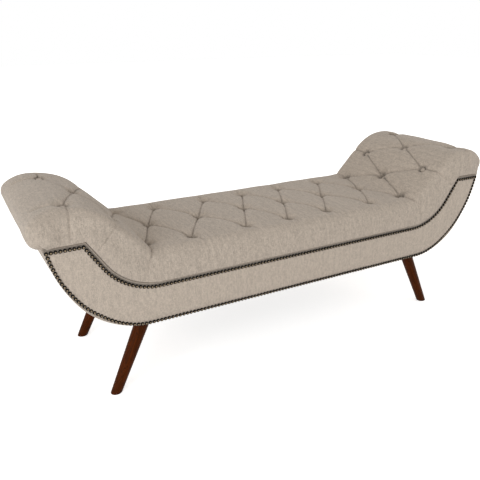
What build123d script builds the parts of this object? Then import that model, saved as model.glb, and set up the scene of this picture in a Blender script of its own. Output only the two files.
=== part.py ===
from build123d import *
import os
from math import acos, asin, cos, degrees, pi, radians, sin, sqrt, tan

# Upholstered bench with two scrolled arms: a boat-shaped timber body on four splayed
# legs, a deep-buttoned seat that runs up over both arms, and padded fascias with a
# nail-head trim. Millimetres, +X along the bench, -Y its front, +Z up, floor at Z = 0.

# ---- overall sizes -------------------------------------------------------------------
overall_length = 1572.0         # outside of one arm roll to outside of the other
overall_depth = 462.0           # face to face over both fascias
belly_height = 217.0            # floor to the underside of the boat-shaped body
body_depth = 120.5              # underside to the fascia's top edge along the seat
cushion_rise = 84.5             # fascia's top edge to the pillows of the seat
shoulder_rise = 149.0           # fascia's top edge, from the seat up to its ends
arm_rise = 152.0                # pillows of the seat up to the crest of the arm rolls

# ---- boat-shaped body outline --------------------------------------------------------
shoulder_inset = 25.0           # roll's outside to the fascia's outer top corner
shoulder_width = 105.0          # fascia's top edge at each end
belly_radius = 244.0            # first curve, from the flat underside
belly_turn = 56.0               # degrees turned by that curve
flank_radius = 420.0            # slower curve that follows it up to the shoulder
elbow_radius = 172.0            # curve from the seat up the inside of the arm
elbow_turn = 56.5               # degrees turned by that curve, then it runs straight

# ---- cushion outline -----------------------------------------------------------------
lap_radius = 80.0               # hollow between seat and arm
arm_slope = 45.0                # degrees, straight part of the arm's inner slope
crest_radius = 190.0            # inner side of the roll's top
roll_radius = 110.0             # outer side of the roll's top
roll_turn = 40.0                # degrees turned by it, before the tight nose curve
roll_tuck = 12.0                # foam stops this far inside the nose's centre
cushion_edge_bevel = 13.0       # front and back edges

# ---- upholstery ----------------------------------------------------------------------
fascia_thickness = 8.0          # wadding and fabric over the profile boards' faces
topper_thickness = 30.0         # fibre and fabric over the foam
topper_side = 12.0              # the same where it wraps down the front and back
belly_cover_thickness = 2.0
belly_skin_thickness = 4.0
belly_skin_overlap = 63.0       # how far skins and covers run in under the flat
dust_cover_thickness = 1.0
trim_margin = 8.0               # fascia's edge to the nail heads' centre line
trim_width = 9.0
trim_thickness = 1.6

# ---- buttoning -----------------------------------------------------------------------
button_row_offset = 148.0       # middle row to each outer row
seat_outer_shares = (0.0, 0.320, 0.705)     # from the centre to an arm's first outer button
seat_middle_shares = (0.163, 0.511, 0.871)
arm_outer_row = ((231.0, 20.0), (139.0, 15.0))      # in from the crest, well depth
arm_middle_row = ((188.0, 28.0), (82.0, 13.0))
crest_pair_inward = {"left": 19.0, "right": 3.0}    # the last pair of each arm's outer rows
crest_well_depth = 12.0
button_radius = 9.0
button_height = 6.0
button_top_radius = 5.5
pull_sides = 10                 # flats that make the round of a button or a well
seat_well_depth = 13.0
well_top_radius = 32.0
well_clearance = 1.0            # round the button at the bottom of its well
twine_hole_radius = 3.0
twine_hole_sides = 8

# ---- timber --------------------------------------------------------------------------
board_thickness = 18.0
deck_thickness = 6.0
half_lap_length = 70.0          # where a wing joins the middle board
half_lap_gap = 65.0             # its middle to the foot of the elbow curve
rail_thickness = 22.0
rail_depth = 75.0
mid_rail_spacing = 310.0
top_rail_depth = 50.0
top_rail_inner_gap = 12.0       # shoulder's inner corner to the rail
top_rail_outer_gap = 30.0       # shoulder's outer corner to the rail
slope_rail_width = 50.0
slope_rail_thickness = 25.0
slope_rail_start = 10.0         # up the straight slope from the elbow curve
leg_block_inner = 34.0          # leg axis to the block's end against the end rail
leg_block_length = 80.0
leg_block_width = 70.0
leg_block_height = 60.0

# ---- legs ----------------------------------------------------------------------------
leg_beyond_flat = 6.0           # flat underside's end to the leg axis
leg_face_gap = 57.0             # fascia's face to the leg axis at the underside
leg_splay_along = 25.4          # degrees from upright, towards the bench's end
leg_splay_across = 3.0          # degrees from upright, towards its front or back
leg_top_radius = 21.0
leg_foot_radius = 15.2
leg_sides = 24                  # flats that make the round of a leg
fixing_sides = 12               # flats that make the round of a bolt or an insert
bolt_radius = 4.0
bolt_in_leg = 45.0
bolt_in_block = 38.0
bolt_hole_clearance = 0.5       # in the belly skin and cover only
insert_radius = 6.0
insert_length = 15.0
insert_clearance = 0.5          # top of the belly skin to the insert's nearest edge

# ---- derived -------------------------------------------------------------------------
waist_height = belly_height + body_depth
seat_height = waist_height + cushion_rise
shoulder_height = waist_height + shoulder_rise
arm_height = seat_height + arm_rise
half_length = overall_length / 2
half_depth = overall_depth / 2
board_face = half_depth - fascia_thickness
board_back = board_face - board_thickness
foam_half_depth = half_depth - topper_side
shoulder_outer = half_length - shoulder_inset
shoulder_inner = shoulder_outer - shoulder_width
board_inset = belly_cover_thickness + belly_skin_thickness
board_low = belly_height + board_inset


def flank_turn(outer_inset, top):
    """Degrees turned by the flank curve up to a given height."""
    radius = belly_radius - outer_inset
    start = belly_height + outer_inset + radius * (1 - cos(radians(belly_turn)))
    rise = (top - start) / (flank_radius - outer_inset)
    return degrees(acos(cos(radians(belly_turn)) - rise)) - belly_turn


whole_turn = radians(belly_turn + flank_turn(0, shoulder_height))
belly_run = belly_radius * sin(radians(belly_turn))
flank_run = flank_radius * (sin(whole_turn) - sin(radians(belly_turn)))
flat_end = shoulder_outer - belly_run - flank_run

elbow_angle = radians(elbow_turn)
elbow_top = waist_height + elbow_radius * (1 - cos(elbow_angle))
elbow_end = shoulder_inner - (shoulder_height - elbow_top) / tan(elbow_angle)
elbow_start = elbow_end - elbow_radius * sin(elbow_angle)

slope_angle = radians(arm_slope)
roll_angle = radians(roll_turn)
roll_drop = roll_radius * (1 - cos(roll_angle))
nose_radius = (arm_height - roll_drop - shoulder_height) / (1 + cos(roll_angle))
nose_centre = half_length - nose_radius
crest_x = nose_centre - (roll_radius - nose_radius) * sin(roll_angle)
curved_rise = (lap_radius + crest_radius) * (1 - cos(slope_angle))
slope_length = (arm_height - seat_height - curved_rise) / sin(slope_angle)
crest_start = crest_x - crest_radius * sin(slope_angle)
lap_end = crest_start - slope_length * cos(slope_angle)
lap_start = lap_end - lap_radius * sin(slope_angle)

first_arm_button = crest_x - arm_outer_row[0][0]
topper_split = first_arm_button * (1 + seat_middle_shares[-1]) / 2

leg_x = flat_end + leg_beyond_flat
leg_y = half_depth - leg_face_gap
leg_slant = sqrt(1 + tan(radians(leg_splay_along)) ** 2 + tan(radians(leg_splay_across)) ** 2)
insert_drop = insert_radius * sqrt(leg_slant**2 - 1)
insert_recess = (board_inset + insert_clearance) * leg_slant + insert_drop
leg_block_start = leg_x - leg_block_inner
belly_skin_start = flat_end - belly_skin_overlap
ENDS = (("left", -1), ("right", 1))
FACES = (("front", -1), ("back", 1))


# ---- sections, drawn with X along the bench and Y upward -----------------------------
def slab(section, low_y, high_y):
    """Carry a section across the bench from low_y to high_y."""
    placed = Plane.XZ.offset(-low_y) * section
    return extrude(placed, amount=high_y - low_y, dir=(0, 1, 0))


def block(x_range, y_range, z_range):
    """A rectangular solid from its limits along each axis."""
    low = Vector(x_range[0], y_range[0], z_range[0])
    size = Vector(x_range[1], y_range[1], z_range[1]) - low
    corner = (Align.MIN, Align.MIN, Align.MIN)
    return Pos(*low) * Box(size.X, size.Y, size.Z, align=corner)


def top_line(lift, top=shoulder_height):
    """Right half of the body's upper line, raised square to itself by lift."""
    seat = Line((0, waist_height + lift), (elbow_start, waist_height + lift))
    elbow = JernArc(seat @ 1, seat % 1, elbow_radius - lift, elbow_turn)
    elbow_tip = elbow @ 1
    run = (top - elbow_tip.Y) / tan(elbow_angle)
    slope = Line(elbow_tip, (elbow_tip.X + run, top))
    return [seat, elbow, slope]


def boat_section(outer_inset=0.0, inner_inset=0.0):
    """The boat outline, drawn in from its underside and from its upper line."""
    low = belly_height + outer_inset
    top = shoulder_height - inner_inset
    flat = Line((0, low), (flat_end, low))
    belly = JernArc(flat @ 1, flat % 1, belly_radius - outer_inset, belly_turn)
    flank = JernArc(belly @ 1, belly % 1, flank_radius - outer_inset, flank_turn(outer_inset, top))
    upper = top_line(-inner_inset, top)
    shoulder = Line(flank @ 1, upper[-1] @ 1)
    middle = Line(upper[0] @ 0, flat @ 0)
    half = make_face([flat, belly, flank, shoulder, *upper, middle])
    return half + mirror(half, about=Plane.YZ)


def cushion_section(lift, inset=0.0):
    """Upholstery above the raised upper line. Drawn in, it has no nose under the roll."""
    upper = top_line(lift)
    flat = Line((0, seat_height - inset), (lap_start, seat_height - inset))
    lap = JernArc(flat @ 1, flat % 1, lap_radius + inset, arm_slope)
    slope = Line(lap @ 1, lap @ 1 + (lap % 1) * slope_length)
    crest = JernArc(slope @ 1, slope % 1, crest_radius - inset, -arm_slope)
    roll = JernArc(crest @ 1, crest % 1, roll_radius - inset, -roll_turn)
    nose = [] if inset else [JernArc(roll @ 1, roll % 1, nose_radius, roll_turn - 180)]
    under = Line([roll, *nose][-1] @ 1, (nose_centre - roll_tuck, shoulder_height))
    shoulder = Line(under @ 1, upper[-1] @ 1)
    middle = Line(upper[0] @ 0, flat @ 0)
    half = make_face([flat, lap, slope, crest, roll, *nose, under, shoulder, *upper, middle])
    return half + mirror(half, about=Plane.YZ)


def beyond(side, start):
    """Everything past start on one end of the bench."""
    reach = 2 * half_length
    limits = sorted((side * start, side * reach))
    return block(limits, (-reach, reach), (-reach, reach))


def within(limit):
    """Everything nearer to the bench's centre than limit, along its length."""
    reach = 2 * half_length
    return block((-limit, limit), (-reach, reach), (-reach, reach))


# ---- timber body ---------------------------------------------------------------------
def profile_board(face):
    """Middle board and two wings, half-lapped together, for one long side."""
    outer, inner = face * board_face, face * board_back
    halfway = (outer + inner) / 2
    section = boat_section(outer_inset=board_inset)
    outer_leaf = slab(section, *sorted((outer, halfway)))
    inner_leaf = slab(section, *sorted((halfway, inner)))
    near = elbow_start - half_lap_gap - half_lap_length / 2
    far = near + half_lap_length
    middle = (outer_leaf & within(near)) + (inner_leaf & within(far))
    wings = [(outer_leaf & beyond(s, near)) + (inner_leaf & beyond(s, far)) for _, s in ENDS]
    return middle, wings


def cross_rail(centre):
    """Rail between the profile boards, under the seat deck."""
    half = rail_thickness / 2
    low = waist_height - rail_depth
    return block((centre - half, centre + half), (-board_back, board_back), (low, waist_height))


def arm_top_rail(side):
    """Rail between the wings at the shoulder, which carries the roll."""
    limits = (shoulder_inner + top_rail_inner_gap, shoulder_outer - top_rail_outer_gap)
    across = (-board_back, board_back)
    rail = block(limits, across, (shoulder_height - top_rail_depth, shoulder_height))
    return rail if side > 0 else mirror(rail, about=Plane.YZ)


def arm_slope_rail(side):
    """Rail between the wings, flush under the straight part of the arm deck."""
    up_slope = Vector(cos(elbow_angle), 0, sin(elbow_angle))
    down = Vector(sin(elbow_angle), 0, -cos(elbow_angle))
    foot = Vector(elbow_end, 0, elbow_top) + up_slope * (slope_rail_start + slope_rail_width / 2)
    seat = Plane(foot + down * (slope_rail_thickness / 2), x_dir=up_slope, z_dir=-down)
    rail = seat * Box(slope_rail_width, 2 * board_back, slope_rail_thickness)
    return rail if side > 0 else mirror(rail, about=Plane.YZ)


def decks():
    """Seat deck with its twine holes, and the bent deck of each arm."""
    section = cushion_section(0) - cushion_section(deck_thickness)
    sheet = slab(section, -foam_half_depth, foam_half_depth)
    seat = sheet & within(elbow_start)
    twine_hole = extrude(RegularPolygon(twine_hole_radius, twine_hole_sides), amount=deck_thickness)
    seat -= [Pos(x, y, waist_height) * twine_hole for x, y, _ in seat_buttons()]
    arms = [sheet & beyond(side, elbow_start) for _, side in ENDS]
    return seat, arms


def belly_layer(outer_inset, thickness, side):
    """One bent layer of the body's underside at one end, bored for the leg bolts."""
    section = boat_section(outer_inset) - boat_section(outer_inset + thickness)
    layer = slab(section, -board_face, board_face) & beyond(side, belly_skin_start)
    radius, reach = bolt_radius + bolt_hole_clearance, leg_block_height
    hole = Pos(0, 0, -reach) * many_sided_cone(radius, radius, 2 * reach, fixing_sides)
    return layer - [leg_frame(side, face) * hole for _, face in FACES]


def dust_cover():
    """Thin cloth under the flat middle of the body."""
    heights = (board_low - dust_cover_thickness, board_low)
    return block((-belly_skin_start, belly_skin_start), (-board_face, board_face), heights)


def many_sided_cone(low_radius, high_radius, height, sides):
    """Straight-sided solid on an even polygon that grows or shrinks with height."""
    turns = [2 * pi * i / sides for i in range(sides)]
    low = [Vector(low_radius * cos(t), low_radius * sin(t), 0) for t in turns]
    high = [Vector(high_radius * cos(t), high_radius * sin(t), height) for t in turns]
    outlines = [low, high]
    outlines += [[low[i - 1], low[i], high[i], high[i - 1]] for i in range(sides)]
    return Solid(Shell([Face(Wire.make_polygon(corners)) for corners in outlines]))


# ---- legs and their fixings ----------------------------------------------------------
def leg_frame(side, face):
    """Plane on a leg's axis at the underside, with its normal up the leg."""
    upward = Vector(-side * tan(radians(leg_splay_along)), -face * tan(radians(leg_splay_across)), 1)
    return Plane(Vector(side * leg_x, face * leg_y, belly_height), x_dir=(0, 1, 0), z_dir=upward)


def hanger_bolt(side, face):
    """Plain stud, half in the leg and half in the block."""
    length = bolt_in_leg + bolt_in_block
    stud = many_sided_cone(bolt_radius, bolt_radius, length, fixing_sides)
    return leg_frame(side, face) * Pos(0, 0, -bolt_in_leg) * stud


def leg(side, face, body):
    """Tapered round leg, cut to the underside and to the floor."""
    length = belly_height * leg_slant
    taper = (leg_top_radius - leg_foot_radius) / length
    spare = 2 * leg_top_radius
    top, foot = leg_top_radius + taper * spare, leg_foot_radius - taper * spare
    turned = Pos(0, 0, -length - spare) * many_sided_cone(foot, top, length + 2 * spare, leg_sides)
    reach = 2 * half_length
    leg_solid = leg_frame(side, face) * turned - body
    leg_solid &= block((-reach, reach), (-reach, reach), (0, reach))
    return leg_solid - hanger_bolt(side, face)


def leg_block_and_insert(side, face):
    """Corner block over a leg, and the threaded insert in its underside."""
    x_limits = sorted((side * leg_block_start, side * (leg_block_start + leg_block_length)))
    y_limits = sorted((face * board_back, face * (board_back - leg_block_width)))
    body = slab(boat_section(outer_inset=board_inset), -half_depth, half_depth)
    corner = block(x_limits, y_limits, (belly_height, board_low + leg_block_height)) & body
    frame = leg_frame(side, face)
    pocket_depth = insert_recess + insert_length
    sleeve = many_sided_cone(insert_radius, insert_radius, insert_length, fixing_sides)
    pocket = many_sided_cone(insert_radius, insert_radius, 2 * pocket_depth, fixing_sides)
    bolt = hanger_bolt(side, face)
    bored = corner - frame * Pos(0, 0, -pocket_depth) * pocket - bolt
    return bored, frame * Pos(0, 0, insert_recess) * sleeve - bolt


# ---- upholstery ----------------------------------------------------------------------
def outside_at(x):
    """Height and slope angle of the cushion's outside at a distance from the centre."""
    if x < lap_start:
        return seat_height, 0.0
    if x < lap_end:
        angle = asin((x - lap_start) / lap_radius)
        return seat_height + lap_radius * (1 - cos(angle)), angle
    if x < crest_start:
        lap_rise = lap_radius * (1 - cos(slope_angle))
        return seat_height + lap_rise + (x - lap_end) * tan(slope_angle), slope_angle
    angle = asin((crest_x - x) / crest_radius)
    return arm_height - crest_radius * (1 - cos(angle)), angle


def row_of_buttons(seat_shares, arm_row):
    """Distance from the centre and well depth of one row's buttons, out to one end."""
    seat = [(share * first_arm_button, seat_well_depth) for share in seat_shares]
    return seat + [(crest_x - inward, depth) for inward, depth in arm_row]


def all_buttons():
    """X, Y and well depth of every button, in three staggered rows."""
    middle = row_of_buttons(seat_middle_shares, arm_middle_row)
    places = []
    for end, side in ENDS:
        crest_pair = (crest_pair_inward[end], crest_well_depth)
        for x, depth in row_of_buttons(seat_outer_shares, (*arm_outer_row, crest_pair)):
            rows = [y * button_row_offset for y in (-1, 1)] if x or side > 0 else []
            places += [(side * x, y, depth) for y in rows]
        places += [(side * x, 0.0, depth) for x, depth in middle]
    return places


def seat_buttons():
    """The buttons of the seat's own topper."""
    return [place for place in all_buttons() if abs(place[0]) < topper_split]


def arm_buttons(side):
    """The buttons of one arm's topper."""
    return [place for place in all_buttons() if side * place[0] > topper_split]


def button_frame(x, y, depth):
    """Plane at the floor of a button's well, with its normal out of the cushion."""
    height, slope = outside_at(abs(x))
    side = 1 if x > 0 else -1
    outward = Vector(-side * sin(slope), 0, cos(slope))
    return Plane(Vector(x, y, height) - outward * depth, x_dir=(0, 1, 0), z_dir=outward)


def button(x, y, depth):
    """Covered button, tapered towards its top."""
    domed = many_sided_cone(button_radius, button_top_radius, button_height, pull_sides)
    return button_frame(x, y, depth) * domed


def well(x, y, depth):
    """Funnel that a button pulls into the topper, carried on past the topper's surface."""
    floor_radius = button_radius + well_clearance
    flare = well_top_radius - floor_radius
    funnel = many_sided_cone(floor_radius, well_top_radius + flare, 2 * depth, pull_sides)
    return button_frame(x, y, depth) * funnel


def toppers_and_foams():
    """Fibre and fabric over the foam, and the foam itself, for seat and arms."""
    outside = slab(cushion_section(0), -half_depth, half_depth)
    upper = [e for e in outside.edges() if abs(e.center().Y) > half_depth - 1]
    crest_edges = [e for e in upper if e.center().Z > seat_height - 1]
    outside = chamfer(crest_edges, cushion_edge_bevel)
    inside = slab(cushion_section(0, topper_thickness), -foam_half_depth, foam_half_depth)
    foam = slab(cushion_section(deck_thickness, topper_thickness), -foam_half_depth, foam_half_depth)
    topper = outside - inside
    seat = (topper & within(topper_split)) - [well(*place) for place in seat_buttons()]
    arms = []
    for _, side in ENDS:
        wells = [well(*place) for place in arm_buttons(side)]
        arms.append((topper & beyond(side, topper_split)) - wells)
    foams = [foam & within(topper_split)]
    foams += [foam & beyond(side, topper_split) for _, side in ENDS]
    return seat, arms, foams


def fascia(face):
    """Padded fabric panel over one long side of the body."""
    return slab(boat_section(), *sorted((face * half_depth, face * board_face)))


def nail_trim(face):
    """Strip that carries the decorative nail heads, all round a fascia."""
    outer = boat_section(trim_margin - trim_width / 2, trim_margin - trim_width / 2)
    inner = boat_section(trim_margin + trim_width / 2, trim_margin + trim_width / 2)
    limits = sorted((face * half_depth, face * (half_depth + trim_thickness)))
    return slab(outer - inner, *limits)


# ---- the bench -----------------------------------------------------------------------
def build():
    """Every sub-part by name."""
    parts = {}
    for name, face in FACES:
        middle, wings = profile_board(face)
        parts[f"{name}_board_middle"] = middle
        for (end, _), wing in zip(ENDS, wings):
            parts[f"{name}_board_{end}"] = wing
        parts[f"{name}_fascia"] = fascia(face)
        parts[f"{name}_nail_trim"] = nail_trim(face)
    seat_deck, arm_decks = decks()
    seat_topper, arm_toppers, foams = toppers_and_foams()
    parts["seat_deck"] = seat_deck
    parts["seat_topper"] = seat_topper
    parts["seat_foam"] = foams[0]
    parts["seat_buttons"] = Compound([button(*place) for place in seat_buttons()])
    parts["dust_cover"] = dust_cover()
    body = slab(boat_section(), -half_depth, half_depth)
    bolts, inserts = [], []
    for index, (end, side) in enumerate(ENDS):
        parts[f"{end}_end_rail"] = cross_rail(side * (leg_block_start - rail_thickness / 2))
        parts[f"{end}_mid_rail"] = cross_rail(side * mid_rail_spacing / 2)
        parts[f"{end}_arm_top_rail"] = arm_top_rail(side)
        parts[f"{end}_arm_slope_rail"] = arm_slope_rail(side)
        parts[f"{end}_arm_deck"] = arm_decks[index]
        parts[f"{end}_arm_topper"] = arm_toppers[index]
        parts[f"{end}_arm_foam"] = foams[index + 1]
        parts[f"{end}_arm_buttons"] = Compound([button(*place) for place in arm_buttons(side)])
        parts[f"{end}_belly_cover"] = belly_layer(0, belly_cover_thickness, side)
        parts[f"{end}_belly_skin"] = belly_layer(belly_cover_thickness, belly_skin_thickness, side)
        for name, face in FACES:
            corner, insert = leg_block_and_insert(side, face)
            parts[f"{name}_{end}_leg_block"] = corner
            parts[f"{name}_{end}_leg"] = leg(side, face, body)
            inserts.append(insert)
            bolts.append(hanger_bolt(side, face))
    parts["threaded_inserts"] = Compound(inserts)
    parts["hanger_bolts"] = Compound(bolts)
    return parts


os.makedirs("parts", exist_ok=True)
for node, shape in build().items():
    export_step(shape, f"parts/{node}.step")
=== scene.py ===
from math import ceil, cos, pi, radians, sin, sqrt, tan

import bpy
import bmesh
import numpy as np
from bpy.props import FloatProperty, FloatVectorProperty, IntProperty, PointerProperty
from mathutils import Matrix, Vector


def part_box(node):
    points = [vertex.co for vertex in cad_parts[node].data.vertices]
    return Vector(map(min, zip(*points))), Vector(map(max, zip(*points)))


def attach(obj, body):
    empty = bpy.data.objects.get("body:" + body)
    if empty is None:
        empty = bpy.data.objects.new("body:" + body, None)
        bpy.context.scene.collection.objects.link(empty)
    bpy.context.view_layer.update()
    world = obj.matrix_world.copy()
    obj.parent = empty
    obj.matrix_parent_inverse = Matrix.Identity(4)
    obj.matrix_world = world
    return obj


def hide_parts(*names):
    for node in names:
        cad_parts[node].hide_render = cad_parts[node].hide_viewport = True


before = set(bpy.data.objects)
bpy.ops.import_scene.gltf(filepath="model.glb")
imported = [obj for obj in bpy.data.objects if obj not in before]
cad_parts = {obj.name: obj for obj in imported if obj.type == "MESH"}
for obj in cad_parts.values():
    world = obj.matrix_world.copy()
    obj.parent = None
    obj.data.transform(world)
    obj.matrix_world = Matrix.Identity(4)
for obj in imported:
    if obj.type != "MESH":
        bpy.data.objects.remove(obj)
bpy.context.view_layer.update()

bl_info = {
    "name": "Scroll-Arm Upholstered Bench",
    "version": (1, 0, 0),
    "blender": (4, 5, 0),
    "location": "View3D > Sidebar > Bench",
    "description": "Covers, buttons, nail heads and finishes for a deep-buttoned bench",
    "category": "Object",
}

# ---- the body's outline, in metres, read from the frame -------------------------------
FASCIA_LOW, FASCIA_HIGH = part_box("front_fascia")
HALF_DEPTH = -FASCIA_LOW.y
BOARD_FACE = -FASCIA_HIGH.y
BELLY_HEIGHT = FASCIA_LOW.z
SHOULDER_HEIGHT = FASCIA_HIGH.z
SHOULDER_OUTER = FASCIA_HIGH.x
WAIST_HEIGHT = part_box("seat_deck")[0].z
ELBOW_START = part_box("seat_deck")[1].x
ARM_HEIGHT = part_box("right_arm_topper")[1].z
HALF_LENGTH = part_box("right_arm_topper")[1].x
SKIN_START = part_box("right_belly_cover")[0].x

# ---- sizes that the frame doesn't state, in metres and degrees, and shares ------------
CUSHION_RISE = 0.0845
SHOULDER_RUN = 0.105
SEAT_HEIGHT = WAIST_HEIGHT + CUSHION_RISE
SHOULDER_INNER = SHOULDER_OUTER - SHOULDER_RUN
BELLY_RADIUS = 0.244
BELLY_TURN = 56.0
FLANK_RADIUS = 0.420
ELBOW_RADIUS = 0.172
ELBOW_TURN = 56.5
LAP_RADIUS = 0.080
ARM_SLOPE = 45.0
CREST_RADIUS = 0.190
ROLL_RADIUS = 0.110
ROLL_TURN = 40.0
TRIM_MARGIN = 0.008
BUTTON_ROW = 0.148
SEAT_OUTER_SHARES = (0.0, 0.320, 0.705)
SEAT_MIDDLE_SHARES = (0.163, 0.511, 0.871)
ARM_OUTER_ROW = ((0.231, 0.020), (0.139, 0.015))
ARM_MIDDLE_ROW = ((0.188, 0.028), (0.082, 0.013))
CREST_PAIR_INWARD = {-1: 0.019, 1: 0.003}
CREST_PAIR_REACH = 0.03
CREST_WELL_DEPTH = 0.012
FRONT_DRAW = 0.005
SEAT_DRAW = 0.006
WELL_DEPTH = 0.013
LEG_BEYOND_FLAT = 0.006
LEG_FACE_GAP = 0.057
LEG_SPLAY_ALONG = 25.4
LEG_SPLAY_ACROSS = 3.0
LEG_TOP_RADIUS = 0.021
LEG_FOOT_RADIUS = 0.0152


# ---- lines that are walked by straight runs and turns ---------------------------------
ROUND_OFF = 1e-9


def walk(start, moves, distances):
    """X, Z and heading at each distance. A move is (radius, degrees) or (0, length)."""
    x, z, heading = start
    found = np.empty((len(distances), 3))
    begun = 0.0
    for radius, amount in moves:
        along = np.maximum(distances - begun, 0.0)
        later = distances >= begun - ROUND_OFF
        if radius:
            way = 1.0 if amount > 0 else -1.0
            length = radius * abs(radians(amount))
            reach = np.append(np.minimum(along, length), length)
            turned = heading + way * reach / radius
            xs = x + way * radius * (np.sin(turned) - sin(heading))
            zs = z - way * radius * (np.cos(turned) - cos(heading))
        else:
            length = amount
            reach = np.append(np.minimum(along, length), length)
            turned = np.full(len(reach), heading)
            xs, zs = x + reach * cos(heading), z + reach * sin(heading)
        found[later] = np.column_stack((xs, zs, turned))[:-1][later]
        x, z, heading = xs[-1], zs[-1], turned[-1]
        begun += length
    return found


def length_of(moves):
    """Whole length of a walked line."""
    return sum(r * abs(radians(a)) if r else a for r, a in moves)


def flank_turn():
    """Degrees that the flank curve turns on its way up to the shoulder."""
    start = BELLY_HEIGHT + BELLY_RADIUS * (1 - cos(radians(BELLY_TURN)))
    rise = (SHOULDER_HEIGHT - start) / FLANK_RADIUS
    return np.degrees(np.arccos(cos(radians(BELLY_TURN)) - rise)) - BELLY_TURN


FLANK_TURN = flank_turn()
WHOLE_TURN = radians(BELLY_TURN + FLANK_TURN)
FLAT_END = SHOULDER_OUTER - BELLY_RADIUS * sin(radians(BELLY_TURN))
FLAT_END -= FLANK_RADIUS * (sin(WHOLE_TURN) - sin(radians(BELLY_TURN)))

ROLL_DROP = ROLL_RADIUS * (1 - cos(radians(ROLL_TURN)))
NOSE_RADIUS = (ARM_HEIGHT - ROLL_DROP - SHOULDER_HEIGHT) / (1 + cos(radians(ROLL_TURN)))
CREST_X = HALF_LENGTH - NOSE_RADIUS - (ROLL_RADIUS - NOSE_RADIUS) * sin(radians(ROLL_TURN))
CURVED_RISE = (LAP_RADIUS + CREST_RADIUS) * (1 - cos(radians(ARM_SLOPE)))
SLOPE_LENGTH = (ARM_HEIGHT - SEAT_HEIGHT - CURVED_RISE) / sin(radians(ARM_SLOPE))
LAP_START = CREST_X - (CREST_RADIUS + LAP_RADIUS) * sin(radians(ARM_SLOPE))
LAP_START -= SLOPE_LENGTH * cos(radians(ARM_SLOPE))

CUSHION = [
    (0, LAP_START),
    (LAP_RADIUS, ARM_SLOPE),
    (0, SLOPE_LENGTH),
    (CREST_RADIUS, -ARM_SLOPE),
    (ROLL_RADIUS, -ROLL_TURN),
    (NOSE_RADIUS, ROLL_TURN - 180),
]
ELBOW_TOP = WAIST_HEIGHT + ELBOW_RADIUS * (1 - cos(radians(ELBOW_TURN)))
BODY_SLOPE = (SHOULDER_HEIGHT - ELBOW_TOP) / sin(radians(ELBOW_TURN))
# A sharp corner is a turn of hardly any radius.
CORNER_RADIUS = 1e-6
WAIST = [
    (0, ELBOW_START),
    (ELBOW_RADIUS, ELBOW_TURN),
    (0, BODY_SLOPE),
    (CORNER_RADIUS, -ELBOW_TURN),
    (0, SHOULDER_OUTER - SHOULDER_INNER),
]
BELLY = [(0, FLAT_END), (BELLY_RADIUS, BELLY_TURN), (FLANK_RADIUS, FLANK_TURN)]
CUSHION_START = (0, SEAT_HEIGHT, 0)
WAIST_START = (0, WAIST_HEIGHT, 0)
BELLY_START = (0, BELLY_HEIGHT, 0)


def both_ways(start, moves, distances):
    """A walked line carried on to the left as its mirror image: X, Z and heading."""
    found = walk(start, moves, np.abs(distances))
    left = distances < 0
    found[left, 0] *= -1
    found[left, 2] *= -1
    return found


def cushion_line(distances):
    """X, Z and heading along the cushion's outline."""
    return both_ways(CUSHION_START, CUSHION, distances)


def waist_line(distances):
    """X, Z and heading along the body's upper line, which the cushion rests on."""
    return both_ways(WAIST_START, WAIST, distances)


def upward(line):
    """X and Z of a walked line's normals, on its upper side."""
    return np.column_stack((-np.sin(line[:, 2]), np.cos(line[:, 2])))


PAST_CREST = 0.02
CREST_TRIES = 4000
CREST_END = length_of(CUSHION[:4])
CUSHION_END = length_of(CUSHION)


def distance_at(x):
    """Distance along the cushion's outline to a place over X, up to the crest."""
    tries = np.linspace(0, CREST_END + PAST_CREST, CREST_TRIES)
    return float(np.interp(abs(x), walk(CUSHION_START, CUSHION, tries)[:, 0], tries))


def side_name(x):
    """left or right, by the sign of X."""
    return "left" if x < 0 else "right"


# ---- meshes ---------------------------------------------------------------------------
def new_piece(name, points, faces, uvs=None):
    """A mesh object of that name, with a weave map in metres where uvs are given."""
    mesh = bpy.data.meshes.new(name)
    mesh.from_pydata([tuple(p) for p in points], [], [tuple(f) for f in faces])
    if uvs is not None:
        layer = mesh.uv_layers.new(name="weave")
        loops = np.empty(len(mesh.loops), np.int32)
        mesh.loops.foreach_get("vertex_index", loops)
        layer.data.foreach_set("uv", np.asarray(uvs, np.float32)[loops].ravel())
    mesh.polygons.foreach_set("use_smooth", [True] * len(mesh.polygons))
    mesh.validate()
    mesh.update()
    piece = bpy.data.objects.new(name, mesh)
    bpy.context.scene.collection.objects.link(piece)
    return piece


def marked(piece, name, values):
    """The same piece, with a value kept at each of its points for its material."""
    layer = piece.data.attributes.new(name, "FLOAT", "POINT")
    layer.data.foreach_set("value", np.asarray(values, np.float32).ravel())
    return piece


def grid_faces(columns, rows, around=False):
    """Quads of a grid whose points are listed column by column."""
    last = columns if around else columns - 1
    i, j = np.meshgrid(np.arange(last), np.arange(rows - 1), indexing="ij")
    k = (i + 1) % columns
    quads = np.stack((i * rows + j, k * rows + j, k * rows + j + 1, i * rows + j + 1), -1)
    return quads.reshape(-1, 4)


def joined(name, parts):
    """One object from several (points, faces, uvs) lists."""
    points, faces, uvs, start = [], [], [], 0
    for part_points, part_faces, part_uvs in parts:
        points.append(part_points)
        uvs.append(part_uvs)
        faces += [tuple(int(v) + start for v in f) for f in part_faces]
        start += len(part_points)
    return new_piece(name, np.concatenate(points), faces, np.concatenate(uvs))


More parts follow.
